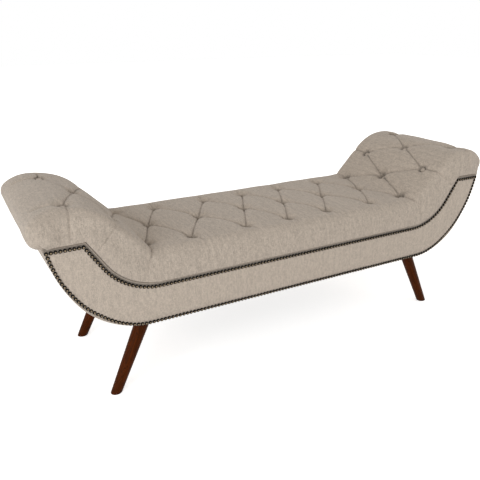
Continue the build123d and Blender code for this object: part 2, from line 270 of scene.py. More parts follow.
def lathe(profile, turns):
    """Points and faces of a profile of (radius, height) turned about Z, closed at both ends."""
    angles = np.arange(turns) * 2 * pi / turns
    radius, height = np.array(profile).T
    xs, ys = np.outer(np.cos(angles), radius), np.outer(np.sin(angles), radius)
    points = np.stack((xs, ys, np.tile(height, (turns, 1))), -1).reshape(-1, 3)
    rows = len(profile)
    faces = [tuple(f) for f in grid_faces(turns, rows, around=True)]
    faces.append(tuple(i * rows for i in reversed(range(turns))))
    faces.append(tuple(i * rows + rows - 1 for i in range(turns)))
    return points, faces


def set_outward(piece):
    """Turns a closed piece's faces outward."""
    form = bmesh.new()
    form.from_mesh(piece.data)
    bmesh.ops.recalc_face_normals(form, faces=form.faces)
    form.to_mesh(piece.data)
    form.free()


def wear(piece, material):
    """Turns a piece's faces outward, and gives it its one material."""
    set_outward(piece)
    piece.data.materials.append(material)
    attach(piece, "root")


# ---- materials ------------------------------------------------------------------------
class Recipe:
    """A material under construction, with short calls for the nodes that it needs."""

    def __init__(self, name):
        self.material = bpy.data.materials.new(name)
        self.material.use_nodes = True
        self.tree = self.material.node_tree
        self.shader = self.tree.nodes["Principled BSDF"]

    def add(self, kind, inputs=None, **settings):
        """A node with its settings, and its inputs set or linked."""
        node = self.tree.nodes.new(kind)
        for key, value in settings.items():
            setattr(node, key, value)
        for key, value in (inputs or {}).items():
            self.put(node.inputs[key], value)
        return node

    def put(self, socket, value):
        """Links a node's output to a socket, or sets the socket's own value."""
        if isinstance(value, bpy.types.NodeSocket):
            self.tree.links.new(value, socket)
        else:
            socket.default_value = value

    def place(self):
        """Coordinates along the object's own axes, in metres."""
        return self.add("ShaderNodeTexCoord").outputs["Object"]

    def weave(self):
        """Coordinates along the cloth or down the leg, in metres."""
        return self.add("ShaderNodeUVMap", uv_map="weave").outputs[0]

    def mark(self, name):
        """A value that is kept at the piece's points."""
        return self.add("ShaderNodeAttribute", attribute_name=name).outputs["Fac"]

    def math(self, operation, a, b=0.0):
        """Result of one Math node."""
        return self.add("ShaderNodeMath", {0: a, 1: b}, operation=operation).outputs[0]

    def mix(self, factor, a, b):
        """Colour mixed from a to b."""
        node = self.add("ShaderNodeMix", data_type="RGBA")
        for socket, value in zip((node.inputs[0], node.inputs[6], node.inputs[7]), (factor, a, b)):
            self.put(socket, value)
        return node.outputs[2]

    def scaled(self, vector, scale):
        """Coordinates scaled along each axis by scale."""
        return self.add("ShaderNodeMapping", {"Vector": vector, "Scale": scale}).outputs[0]

    def noise(self, vector, scale, detail=2.0, roughness=0.5):
        """Grey value of a noise texture."""
        inputs = {"Vector": vector, "Scale": scale, "Detail": detail, "Roughness": roughness}
        return self.add("ShaderNodeTexNoise", inputs).outputs[0]

    def flecks(self, vector, across, along, detail=3.0, roughness=0.6):
        """Grey noise with its own scale across and along the cloth or the grain."""
        return self.noise(self.scaled(vector, (across, along, 1.0)), 1.0, detail, roughness)

    def cells(self, vector, scale, output):
        """Distance or colour of a pattern of small cells."""
        inputs = {"Vector": vector, "Scale": scale}
        return self.add("ShaderNodeTexVoronoi", inputs).outputs[output]

    def bent(self, vector, wave):
        """Coordinates pushed aside by a wave."""
        return self.add("ShaderNodeVectorMath", {0: vector, 1: wave}, operation="ADD").outputs[0]

    def spread(self, value, low, high, to_low=0.0, to_high=1.0):
        """Value carried from one range to another, and held inside it."""
        inputs = {0: value, 1: low, 2: high, 3: to_low, 4: to_high}
        return self.add("ShaderNodeMapRange", inputs).outputs[0]

    def bump(self, height, distance, strength):
        """Normal from a grey height, whose whole range stands for a distance in metres."""
        inputs = {"Height": height, "Distance": distance, "Strength": strength}
        return self.add("ShaderNodeBump", inputs).outputs[0]

    def finish(self, **inputs):
        """Sets or links the shader's inputs and gives the material back."""
        for key, value in inputs.items():
            self.put(self.shader.inputs[key.replace("_", " ")], value)
        return self.material


def linear(colour):
    """Scene-linear RGBA from an sRGB colour with parts from 0 to 1."""
    parts = [c / 12.92 if c <= 0.04045 else ((c + 0.055) / 1.055) ** 2.4 for c in colour]
    return (*parts, 1.0)


def toned(colour, factor):
    """The same colour, lighter or darker, as scene-linear RGBA."""
    return linear([min(1.0, c * factor) for c in colour])


def linen(settings):
    """Plain-woven linen blend: threads over and under, short slubs, and an uneven tone, with painted shade
    in its creases and painted light over the fascias.
    """
    r = Recipe("linen_weave")
    cloth = r.weave()
    parts = r.add("ShaderNodeSeparateXYZ", {0: cloth})
    wobble = r.math("MULTIPLY", r.noise(cloth, 90.0, 3.0), 0.0009)
    step = 2 * pi / settings.weave_repeat
    warp, weft = (
        r.math("SINE", r.math("MULTIPLY", r.math("ADD", parts.outputs[axis], wobble), step))
        for axis in (0, 1)
    )
    over = r.spread(r.math("MULTIPLY", warp, weft), -1.0, 1.0)
    threads = r.math("MAXIMUM", r.math("ABSOLUTE", warp), r.math("ABSOLUTE", weft))
    upright = r.flecks(cloth, 300.0, 110.0, roughness=0.65)
    across = r.flecks(cloth, 110.0, 320.0)
    speckle = r.flecks(cloth, 380.0, 330.0, roughness=0.7)
    stripes = r.flecks(cloth, 90.0, 4.0, detail=2.0, roughness=0.5)
    cloud = r.flecks(cloth, 130.0, 45.0)
    hue = settings.linen_colour
    tone = r.mix(r.spread(upright, 0.38, 0.62), toned(hue, 0.90), toned(hue, 1.06))
    # Each pattern, the range that it is carried from and to, and how it lightens or darkens.
    layers = (
        (across, (0.50, 0.68, 0.0, 0.6), 1.13),
        (speckle, (0.50, 0.64, 0.0, 0.70), 0.78),
        (stripes, (0.40, 0.62, 0.0, 0.25), 1.12),
        (cloud, (0.50, 0.66, 0.0, 0.45), 1.10),
        (cloud, (0.34, 0.48, 0.45, 0.0), 0.90),
        (threads, (0.15, 0.75, 0.30, 0.0), 0.62),
    )
    for pattern, reach, factor in layers:
        tone = r.mix(r.spread(pattern, *reach), tone, toned(hue, factor))
    # Painted light and shade: the cloth is coloured paler over the fascias, and darker in the creases,
    # beside the buttons and under the cushion's edge.
    marks = (("painted_light", settings.painted_panel_light, 1.30), ("shade", settings.painted_shade, 0.40))
    for name, strength, factor in marks:
        tone = r.mix(r.math("MULTIPLY", r.mark(name), strength), tone, toned(hue, factor))
    height = r.math("ADD", r.math("MULTIPLY", over, 0.5), r.math("MULTIPLY", upright, 0.5))
    return r.finish(
        Base_Color=tone,
        Roughness=r.spread(upright, 0.3, 0.7, 0.93, 0.78),
        Normal=r.bump(height, 0.0006, 0.5),
        Sheen_Weight=0.2,
        Sheen_Roughness=0.5,
        Specular_IOR_Level=0.2,
    )


def walnut(settings):
    """Stained and lacquered leg wood, with its grain along the leg."""
    r = Recipe("walnut_stain")
    place = r.weave()
    bent = r.bent(place, r.flecks(place, 18.0, 3.0, roughness=0.5))
    figure = r.flecks(bent, 130.0, 7.0, detail=5.0)
    pores = r.flecks(place, 1500.0, 60.0, detail=2.0, roughness=0.7)
    stain = settings.leg_colour
    tone = r.mix(r.spread(figure, 0.35, 0.65), toned(stain, 0.70), toned(stain, 1.25))
    tone = r.mix(r.spread(pores, 0.55, 0.72, 0.0, 0.7), tone, toned(stain, 0.35))
    return r.finish(
        Base_Color=tone,
        Roughness=r.spread(figure, 0.3, 0.7, 0.34, 0.46),
        Normal=r.bump(pores, 0.0003, 0.25),
        Specular_IOR_Level=0.04,
    )


def bronze(settings):
    """Antiqued nail bronze: dark in the rim, lighter on the crown, partly rubbed wear and partly a painted
    highlight.
    """
    r = Recipe("antique_bronze")
    patina = r.noise(r.place(), 900.0, 4.0, 0.65)
    # Painted highlight: the crown is coloured lighter, partly as rubbed wear and partly to stand for the
    # light that it catches.
    crown = r.spread(r.mark("crown"), 0.90, 0.99)
    rubbed_and_highlight = r.math("MULTIPLY", crown, r.spread(patina, 0.30, 0.50))
    tone = r.mix(rubbed_and_highlight, toned(settings.nail_colour, 0.04), toned(settings.nail_colour, 3.0))
    return r.finish(
        Base_Color=tone,
        Roughness=r.spread(patina, 0.3, 0.7, 0.38, 0.58),
        Metallic=0.30,
        Specular_IOR_Level=0.15,
        Normal=r.bump(patina, 0.0003, 0.35),
    )


PLY_PAIR = 0.003
RING_SCALE = 3.0
FIBRE_FINENESS = 12


def timber(name, colour, grain, layered=False):
    """Bare timber or plywood, from the object's own axes."""
    r = Recipe(name)
    place = r.place()
    bent = r.bent(place, r.noise(r.scaled(place, (6.0, 6.0, 6.0)), 1.0, 3.0))
    figure = r.noise(r.scaled(bent, grain), RING_SCALE, 4.0, 0.55)
    fine = tuple(scale * FIBRE_FINENESS for scale in grain)
    fibre = r.noise(r.scaled(place, fine), RING_SCALE, 2.0)
    tone = r.mix(r.spread(figure, 0.35, 0.65), toned(colour, 0.84), toned(colour, 1.08))
    tone = r.mix(r.spread(fibre, 0.5, 0.75, 0.0, 0.4), tone, toned(colour, 0.72))
    if layered:
        level = r.add("ShaderNodeSeparateXYZ", {0: place}).outputs[1]
        plies = r.math("SINE", r.math("MULTIPLY", level, 2 * pi / PLY_PAIR))
        tone = r.mix(r.spread(plies, 0.2, 0.9, 0.0, 0.35), tone, toned(colour, 0.66))
    return r.finish(
        Base_Color=tone,
        Roughness=r.spread(fibre, 0.3, 0.7, 0.62, 0.80),
        Normal=r.bump(fibre, 0.0004, 0.4),
    )


def dust_cloth():
    """Thin black non-woven cloth."""
    r = Recipe("black_dust_cloth")
    place = r.weave()
    felt = r.noise(place, 700.0, 5.0, 0.7)
    dots = r.cells(place, 420.0, "Distance")
    dark, light = linear((0.035, 0.035, 0.037)), linear((0.10, 0.10, 0.105))
    height = r.math("SUBTRACT", felt, r.spread(dots, 0.0, 0.3, 0.6, 0.0))
    return r.finish(
        Base_Color=r.mix(r.spread(felt, 0.3, 0.7), dark, light),
        Roughness=r.spread(felt, 0.3, 0.7, 0.85, 0.98),
        Normal=r.bump(height, 0.0003, 0.5),
    )


def open_foam():
    """Cream upholstery foam with small open cells."""
    r = Recipe("seat_foam_cells")
    place = r.place()
    cells = r.cells(place, 480.0, "Distance")
    cloud = r.spread(r.noise(place, 14.0, 3.0), 0.35, 0.7, 0.0, 0.4)
    walls, hollows = linear((0.66, 0.58, 0.40)), linear((0.90, 0.84, 0.66))
    tone = r.mix(r.spread(cells, 0.0, 0.5), walls, hollows)
    return r.finish(
        Base_Color=r.mix(cloud, tone, linear((0.93, 0.86, 0.62))),
        Roughness=r.spread(cells, 0.0, 0.5, 0.98, 0.85),
        Normal=r.bump(cells, 0.0008, 0.6),
    )


def zinc():
    """Bright zinc on small steel fixings."""
    r = Recipe("zinc_plate")
    place = r.place()
    grey = r.add("ShaderNodeSeparateColor", {0: r.cells(place, 260.0, "Color")}).outputs[0]
    turned = r.noise(r.scaled(place, (80.0, 80.0, 2200.0)), 1.0, 2.0)
    return r.finish(
        Base_Color=r.mix(grey, linear((0.62, 0.64, 0.66)), linear((0.78, 0.80, 0.80))),
        Roughness=r.spread(grey, 0.0, 1.0, 0.28, 0.42),
        Metallic=1.0,
        Normal=r.bump(turned, 0.0002, 0.4),
    )


def finish_named(name, maker, *args):
    """The material of that name, made the first time it is asked for."""
    return bpy.data.materials.get(name) or maker(*args)


def linen_material():
    """The bench's covering fabric."""
    return finish_named("linen_weave", linen, bpy.context.scene.bench_finish)


# ---- buttoning ------------------------------------------------------------------------
def row_of(shares, arm):
    """(X, well depth) of one row's buttons, from the bench's centre to one end."""
    reach = CREST_X - ARM_OUTER_ROW[0][0]
    return [(share * reach, WELL_DEPTH) for share in shares] + [(CREST_X - i, d) for i, d in arm]


OUTER_ROWS = {
    way: row_of(SEAT_OUTER_SHARES, (*ARM_OUTER_ROW, (inward, CREST_WELL_DEPTH)))
    for way, inward in CREST_PAIR_INWARD.items()
}
MIDDLE_ROW = row_of(SEAT_MIDDLE_SHARES, ARM_MIDDLE_ROW)
SEAT_COUNT = len(SEAT_OUTER_SHARES)
SEAT_END = (MIDDLE_ROW[SEAT_COUNT - 1][0] + OUTER_ROWS[1][SEAT_COUNT][0]) / 2

# How the creases and pleats between and beyond the buttons cut, sag and run.
FOLD_SHAPE = 2.4
CREASE_SLIT_SHARE = 0.33
FULL_SLIT_SHARE = 0.05
EDGE_PLEAT_SAG = 0.005
BACK_PLEAT_STRETCH = 1.2
# Turn and end of the pleats from an arm's first and second outer button, as steps outward
# along the arm and steps towards the face that the pleat runs over.
ARM_PLEATS = (((0.004, 0.077), (0.002, 0.152)), ((0.003, 0.070), (0.010, 0.185)))
FIRST_PLEAT_SAGS = (0.010, 0.007, 0.004)
SECOND_PLEAT_SAGS = {-1: 0.003, 1: 0.007}
SECOND_PLEAT_FADE = (0.003, 0.001)
NOSE_PLEAT_RUN = 0.088
NOSE_PLEAT_SAG = 0.0085
BACK_CREST_RUN = 0.045
BACK_CREST_SAG = 0.0015
FRONT_CREST_TURN = (-0.002, -0.055)
FRONT_CREST_END = (0.003, -0.150)
FRONT_CREST_SAGS = (0.008, 0.004, 0.0035, 0.002)


def buttons():
    """(X, Y, well depth) of every button."""
    found = []
    for way in (-1, 1):
        for x, depth in OUTER_ROWS[way]:
            found += [(way * x, y, depth) for y in (-BUTTON_ROW, BUTTON_ROW) if x or way > 0]
        found += [(way * x, 0.0, depth) for x, depth in MIDDLE_ROW]
    return found


def flat_place(x):
    """Distance along the cushion to a button at X, negative on the left."""
    return float(np.sign(x)) * distance_at(x) if x else 0.0


def smooth(value):
    """Value held between 0 and 1, with a soft start and end."""
    value = np.clip(value, 0.0, 1.0)
    return value * value * (3 - 2 * value)


def crown_at(s, t, settings):
    """How far the filling lifts the cover over the seat, and over each roll and its nose."""
    across = np.minimum((t / HALF_DEPTH) ** 2, 1.0)
    ends = zip(settings.left_roll_crown, settings.right_roll_crown)
    crest, nose = (np.where(s < 0, left, right) for left, right in ends)
    on_roll = smooth((np.abs(s) - length_of(CUSHION[:3])) / CROWN_CHANGE)
    on_nose = smooth((np.abs(s) - CREST_END) / CROWN_CHANGE)
    seat = settings.seat_crown * (1 - across)
    crest = crest * (1 - ROLL_FADE * across)
    nose = nose * (1 - NOSE_LEAN * np.clip(t / HALF_DEPTH, -1, 1))
    roll = crest + (nose - crest) * on_nose
    end = smooth((CUSHION_END - np.abs(s)) / NOSE_FADE)
    return (seat + (roll - seat) * on_roll) * end


def drawn_further(x, y):
    """How much deeper than its well a button is drawn: all over the seat, and at one crest."""
    if abs(x) < SEAT_END:
        return SEAT_DRAW
    return FRONT_DRAW if x < CREST_PAIR_REACH - CREST_X and y < 0 else 0.0


def well_at(x, y, depth, settings):
    """Whole depth of a button below the crowned cover."""
    return depth + drawn_further(x, y) + float(crown_at(flat_place(x), y, settings))


class Fold:
    """One crease between two places on the flattened cover."""

    def __init__(self, start, end, depths, slits, width):
        self.start, self.end = np.array(start, float), np.array(end, float)
        self.depths, self.slits, self.width = depths, slits, width

    def measure(self, s, t):
        """Distance of each place from the crease, and how far along it the place is."""
        along = self.end - self.start
        share = ((s - self.start[0]) * along[0] + (t - self.start[1]) * along[1]) / (along @ along)
        share = np.clip(share, 0.0, 1.0)
        off_s = s - self.start[0] - share * along[0]
        off_t = t - self.start[1] - share * along[1]
        return np.hypot(off_s, off_t), share


def along_fold(values, share):
    """A crease's depth or slit along it, from those at its start, its middle and its end."""
    first, middle, last = values
    ends = np.where(share < 0.5, first, last)
    return middle + (ends - middle) * np.abs(2 * share - 1) ** FOLD_SHAPE


def button_folds(settings):
    """The diamond of creases between neighbouring buttons."""
    folds = []
    slit, wide = settings.crease_slit, settings.pillow_round
    for way in (-1, 1):
        for k, (x_middle, depth) in enumerate(MIDDLE_ROW):
            start = (flat_place(way * x_middle), 0.0)
            first = well_at(way * x_middle, 0.0, depth, settings)
            for x_outer, outer_depth in OUTER_ROWS[way][k : k + 2]:
                sag = settings.crease_depth * (depth + outer_depth) / 2 / WELL_DEPTH
                for y in (-BUTTON_ROW, BUTTON_ROW):
                    end = (way * distance_at(x_outer), y)
                    well = well_at(way * x_outer, y, outer_depth, settings)
                    cut = slit * CREASE_SLIT_SHARE
                    if way < 0 < y and outer_depth == CREST_WELL_DEPTH:
                        sag, cut = sag / 3, slit * FULL_SLIT_SHARE
                    folds.append(Fold(start, end, (first, sag, well), (slit, cut, slit), wide))
    return folds


def edge_pleats(settings):
    """Pleats from the seat's outer buttons towards its front and back edges, which fade."""
    folds = []
    lean, reach, slit = settings.pleat_lean, settings.pleat_reach, settings.crease_slit
    for x, y, depth in buttons():
        if y and abs(x) < SEAT_END:
            end = (x + lean, y - reach) if y < 0 else (x, y + BACK_PLEAT_STRETCH * reach)
            depths = (well_at(x, y, depth, settings), EDGE_PLEAT_SAG, 0.0)
            folds.append(Fold((x, y), end, depths, (slit, slit / 3, 0), settings.pleat_round))
    return folds


def arm_pleats(settings):
    """Pleats that run from the arms' outer buttons over the edges and over the roll."""
    folds = []
    for way in (-1, 1):
        for rank, (x, depth) in enumerate(OUTER_ROWS[way][SEAT_COUNT:]):
            for face in (-1, 1):
                s, y = flat_place(way * x), face * BUTTON_ROW
                well = well_at(way * x, y, depth, settings)
                if rank == len(ARM_PLEATS):
                    folds += crest_pleats((s, y), way, face, well, settings)
                    continue
                steps = ARM_PLEATS[rank]
                turn, end = ((s + way * outward, y + face * over) for outward, over in steps)
                sags, cuts = pleat_depths(rank, way, well, settings.crease_slit)
                wide = settings.nose_pleat_round
                last = settings.pleat_round if rank else wide
                folds.append(Fold((s, y), turn, sags[0], cuts[0], wide))
                folds.append(Fold(turn, end, sags[1], cuts[1], last))
    return folds


def pleat_depths(rank, way, well, slit):
    """Depths and slits of an arm pleat's two parts: down to its turn, and from there."""
    if rank == 0:
        sag, bend, last = FIRST_PLEAT_SAGS
        return (
            ((well, sag, bend), (bend, last, 0)),
            ((slit, slit / 3, slit / 6), (slit / 6, slit / 8, 0)),
        )
    sag, cut = SECOND_PLEAT_SAGS[way], slit if way > 0 else slit / 8
    return (
        ((well, sag, sag * 0.7), (sag * 0.7, *SECOND_PLEAT_FADE)),
        ((slit, cut * 0.6, cut / 3), (cut / 3, slit / 10, 0)),
    )


def crest_pleats(place, way, face, well, settings):
    """Pleats from a crest button: one over the edge, and one along the roll to its nose."""
    s, y = place
    slit, wide, narrow = settings.crease_slit, settings.nose_pleat_round, settings.pleat_round
    along = (s + way * NOSE_PLEAT_RUN, y)
    folds = [Fold(place, along, (well, NOSE_PLEAT_SAG, 0), (slit, slit * 0.8, 0), wide)]
    if face > 0:
        over = (s, y + BACK_CREST_RUN)
        cut = slit if way < 0 else slit / 2
        folds.append(Fold(place, over, (well, BACK_CREST_SAG, 0), (cut, cut, cut / 3), narrow))
        return folds
    turn, end = ((s + way * out, y + over) for out, over in (FRONT_CREST_TURN, FRONT_CREST_END))
    sag, bend, later, last = FRONT_CREST_SAGS
    folds.append(Fold(place, turn, (well, sag, bend), (slit / 2, 0, 0), wide))
    folds.append(Fold(turn, end, (bend, later, last), (0, 0, 0), narrow))
    return folds


# ---- tufted cover ---------------------------------------------------------------------
# Rows and columns of the cover's mesh, and how its columns are pulled to the creases.
WALL_ROWS = 24
EDGE_ROWS = 11
MESH_STEP = 0.0026
FOOT_CROWDING = 1.15
INNER_ROWS = (("inner", 1, 0.0), ("inner", 1, 1.0), ("inner", -1, 1.0), ("inner", -1, 0.0))
LEVEL_FOLD = 0.02
SHARE_SLACK = 0.001
PULL_SHARES = ((-2, 0.33), (-1, 0.67), (0, 1.0), (1, 0.67), (2, 0.33))
FACING_TRIES = 90
WAIST_TRIES = 1400
# How the filling's crown and the edge's rounding change along the cushion.
CROWN_CHANGE = 0.10
ROLL_FADE = 0.5
NOSE_LEAN = 0.8
NOSE_FADE = 0.035
SLOPE_CHANGE = 0.06
CREST_CHANGE_START = 0.10
CREST_CHANGE = 0.08
NOSE_ROUND_START = 0.060
NOSE_ROUND_CHANGE = 0.090
END_PINCH = 0.030
PINCHED_SHARE = 0.35
# The front and back walls, down to the foot that meets a fascia.
LEAST_WALL = 0.001
BULGE_RISE = 0.6
FOOT_START = 0.938
FOOT_CURL = 1.5
END_GAP = 0.010
# Slits in the creases, and the wells and hollow rims round the buttons.
FOLD_BLEND = 4.0
SLIT_WIDTH = 0.0014
SLIT_START = 0.009
SLIT_FADE = 0.004
WELL_FLOOR = 0.0085
BACK_WELL_SHARE = 0.45
RIM_OUTSIDE = 0.0128
HOLLOW_FADE = 0.003
# Painted shade: the cloth is coloured darker down in the creases and beside the buttons, where shade
# falls.
SHADE_ROUND = 0.0185
SHADE_WIDTH = 0.0024
RIM_SHADE = 0.9
RIM_SOFTNESS = 0.008
# Ripples of the cloth, and dips of the edges opposite the pleats.
UNEVEN_WAVES = 24
WAVE_SPREAD = (0.6, 1.8)
GATHER_SEED = 11
GATHER_COUNTS = (8, 12)
GATHER_REACH = 0.05
GATHER_RING = 0.013
GATHER_WIDTH = 0.009
SCALLOP_RISE = 0.050
SCALLOP_END = 0.300
SCALLOP_FADE = 0.060
SCALLOP_WIDTH = 0.034
BACK_SCALLOP = 0.2


def faced_waist(distances):
    """Distance along the body's upper line that each place along the cushion looks at."""
    tries = np.linspace(0, CREST_END, FACING_TRIES)
    top = walk(CUSHION_START, CUSHION, tries)
    ends = np.linspace(0, length_of(WAIST), WAIST_TRIES)
    line = walk(WAIST_START, WAIST, ends)
    aim_x, aim_z = np.sin(top[:, 2:3]), -np.cos(top[:, 2:3])
    gap_x, gap_z = line[:, 0] - top[:, :1], line[:, 1] - top[:, 1:2]
    miss = np.abs(gap_x * aim_z - gap_z * aim_x)
    hit = ends[np.argmin(miss, axis=1)]
    keys = np.append(tries, CUSHION_END)
    facing = np.append(np.maximum.accumulate(hit), length_of(WAIST) - END_GAP)
    return np.sign(distances) * np.interp(np.abs(distances), keys, facing)


def edge_rounding(distances, face, settings):
    """The edge's rounding radius: large along the seat, small round the roll's nose."""
    far = np.abs(distances)
    left = CUSHION_END - far
    nose = settings.nose_edge_radius
    radius = settings.back_edge_radius
    if face < 0:
        seat, slope = settings.edge_radius, settings.slope_edge_radius
        crest = np.where(distances < 0, *settings.crest_edge_radius)
        radius = seat + (slope - seat) * smooth((far - LAP_START) / SLOPE_CHANGE)
        on_crest = smooth((far - CREST_END + CREST_CHANGE_START) / CREST_CHANGE)
        radius += (crest - radius) * on_crest
    radius = nose + (radius - nose) * smooth((left - NOSE_ROUND_START) / NOSE_ROUND_CHANGE)
    return radius * np.clip(left / END_PINCH, PINCHED_SHARE, 1.0)


def cross_rows(settings):
    """Rows from the front wall's foot over the top to the back's, and back inside."""
    foot_to_edge = 1 - np.linspace(0, 1, WALL_ROWS + 1)[:-1] ** FOOT_CROWDING
    first, last = settings.edge_radius - HALF_DEPTH, HALF_DEPTH - settings.back_edge_radius
    marks = (first, -BUTTON_ROW, 0.0, BUTTON_ROW, last)
    flat = [first]
    for low, high in zip(marks, marks[1:]):
        flat += list(np.linspace(low, high, round((high - low) / MESH_STEP) + 1)[1:])
    rows = [("wall", -1, q) for q in foot_to_edge]
    rows += [("edge", -1, a) for a in np.linspace(pi / 2, 0, EDGE_ROWS + 1)[:-1]]
    rows += [("top", 0, y) for y in flat]
    rows += [("edge", 1, a) for a in np.linspace(0, pi / 2, EDGE_ROWS + 1)[1:]]
    rows += [("wall", 1, q) for q in foot_to_edge[::-1]]
    return rows + list(INNER_ROWS)


def developed_row(kind, face, value, roundings, walls):
    """Flattened distance across the cover at one row."""
    if kind == "top":
        front, back = roundings[-1] - HALF_DEPTH, HALF_DEPTH - roundings[1]
        first, last = front[len(front) // 2], back[len(back) // 2]
        if value < -BUTTON_ROW:
            return front + (value - first) / (-BUTTON_ROW - first) * (-BUTTON_ROW - front)
        if value > BUTTON_ROW:
            return back + (last - value) / (last - BUTTON_ROW) * (BUTTON_ROW - back)
        return np.full_like(front, value)
    rounding, wall = roundings[face], walls[face]
    flat_half = HALF_DEPTH - rounding
    if kind == "edge":
        return face * (flat_half + rounding * value)
    return face * (flat_half + rounding * pi / 2 + value * wall)


def pulled_to_folds(s, t, folds):
    """Columns moved sideways so that, row by row, one point lies on each crease."""
    moved = s.copy()
    columns, rows = s.shape
    step = s[1, 0] - s[0, 0]
    for fold in folds:
        (s0, t0), (s1, t1) = fold.start, fold.end
        if abs(t1 - t0) < LEVEL_FOLD:
            continue
        home = int(round((s0 - s[0, 0]) / step))
        for j in range(rows):
            share = (t[home, j] - t0) / (t1 - t0)
            if not -SHARE_SLACK <= share <= 1 + SHARE_SLACK:
                continue
            place = s0 + share * (s1 - s0)
            nearest = int(round((place - s[0, 0]) / step))
            shift = place - s[nearest, j]
            for k, part in PULL_SHARES:
                if 0 <= nearest + k < columns:
                    moved[nearest + k, j] = s[nearest + k, j] + part * shift
    return moved


def pillow(share):
    """Height lost at a share of the way from a crease to the pillow's top: steep, then level."""
    left = np.clip(1 - share, 0.0, 1.0)
    return 1 - np.sqrt(np.maximum(1 - left * left, 0.0))


def sunk(s, t, folds, settings):
    """How far creases and buttons draw the cover in at each place."""
    total, slit = np.zeros_like(s), np.zeros_like(s)
    for fold in folds:
        distance, share = fold.measure(s, t)
        near = distance < fold.width
        depth = along_fold(fold.depths, share[near])
        total[near] += (depth * pillow(distance[near] / fold.width)) ** FOLD_BLEND
        cut = along_fold(fold.slits, share[near]) * np.exp(-((distance[near] / SLIT_WIDTH) ** 2))
        slit[near] = np.maximum(slit[near], cut)
    for x, y, depth in buttons():
        distance = np.hypot(s - flat_place(x), t - y)
        radius = np.full_like(s, settings.well_radius)
        if depth == CREST_WELL_DEPTH:
            radius = settings.crest_well_radius * np.where(t > max(y, 0), BACK_WELL_SHARE, 1.0)
        near = distance < radius
        share = np.clip((distance - WELL_FLOOR) / (radius - WELL_FLOOR), 0, 1)[near]
        funnel = well_at(x, y, depth, settings) * (1 - share) ** settings.well_steepness
        total[near] += funnel**FOLD_BLEND
        slit *= np.clip((distance - SLIT_START) / SLIT_FADE, 0.0, 1.0)
        slit += settings.well_hollow * np.clip((RIM_OUTSIDE - distance) / HOLLOW_FADE, 0.0, 1.0)
    return total ** (1 / FOLD_BLEND) + slit


def painted_shade_in_creases(s, t, folds, settings):
    """Painted shade: how far each place lies down in a crease or beside a button, from 0 to 1, which
    darkens the cloth's colour.
    """
    total = np.zeros_like(s)
    for fold in folds:
        distance, share = fold.measure(s, t)
        near = distance < 3 * SHADE_WIDTH
        cut = (along_fold(fold.slits, share[near]) / settings.crease_slit) ** 2
        cut = cut * np.exp(-((distance[near] / SHADE_WIDTH) ** 2))
        total[near] = np.maximum(total[near], cut)
    for x, y, _ in buttons():
        distance = np.hypot(s - flat_place(x), t - y)
        total = np.maximum(total, RIM_SHADE * smooth((SHADE_ROUND - distance) / RIM_SOFTNESS))
    return total


def uneven(s, t, seed, size):
    """Slow random rise and fall between -1 and 1, the same on every run."""
    dice = np.random.default_rng(seed)
    total = np.zeros_like(s)
    for _ in range(UNEVEN_WAVES):
        angle, phase = dice.uniform(0, 2 * pi, 2)
        step = 2 * pi / (size * dice.uniform(*WAVE_SPREAD))
        total += np.sin(step * (s * cos(angle) + t * sin(angle)) + phase)
    return total / sqrt(UNEVEN_WAVES)


def gathers(s, t, settings):
    """Small ripples that the cloth makes round each button."""
    dice = np.random.default_rng(GATHER_SEED)
    total = np.zeros_like(s)
    for x, y, _ in buttons():
        distance = np.hypot(s - flat_place(x), t - y)
        near = distance < GATHER_REACH
        angle = np.arctan2(t[near] - y, s[near] - flat_place(x))
        fade = np.exp(-(((distance[near] - GATHER_RING) / GATHER_WIDTH) ** 2))
        waves = int(dice.integers(*GATHER_COUNTS))
        total[near] += fade * np.sin(waves * angle + dice.uniform(0, 2 * pi))
    return total * settings.gather_height


def scallops(s, t, settings):
    """Dips of the front and back edges opposite each pleat."""
    near_edge = np.clip((np.abs(t) - BUTTON_ROW) / SCALLOP_RISE, 0.0, 1.0)
    fade = np.clip((SCALLOP_END - np.abs(t)) / SCALLOP_FADE, 0.0, 1.0)
    total = np.zeros_like(s)
    for x, y, _ in buttons():
        if y:
            same = (t * y > 0) * (1.0 if y < 0 else BACK_SCALLOP)
            lean = settings.pleat_lean if y < 0 and abs(x) < SEAT_END else 0.0
            total += same * np.exp(-(((s - flat_place(x) - lean) / SCALLOP_WIDTH) ** 2))
    return -settings.edge_scallop * near_edge * fade * total


def cover_columns():
    """Distances along the cushion of the cover's columns."""
    return np.linspace(-CUSHION_END, CUSHION_END, 2 * ceil(CUSHION_END / MESH_STEP) + 1)


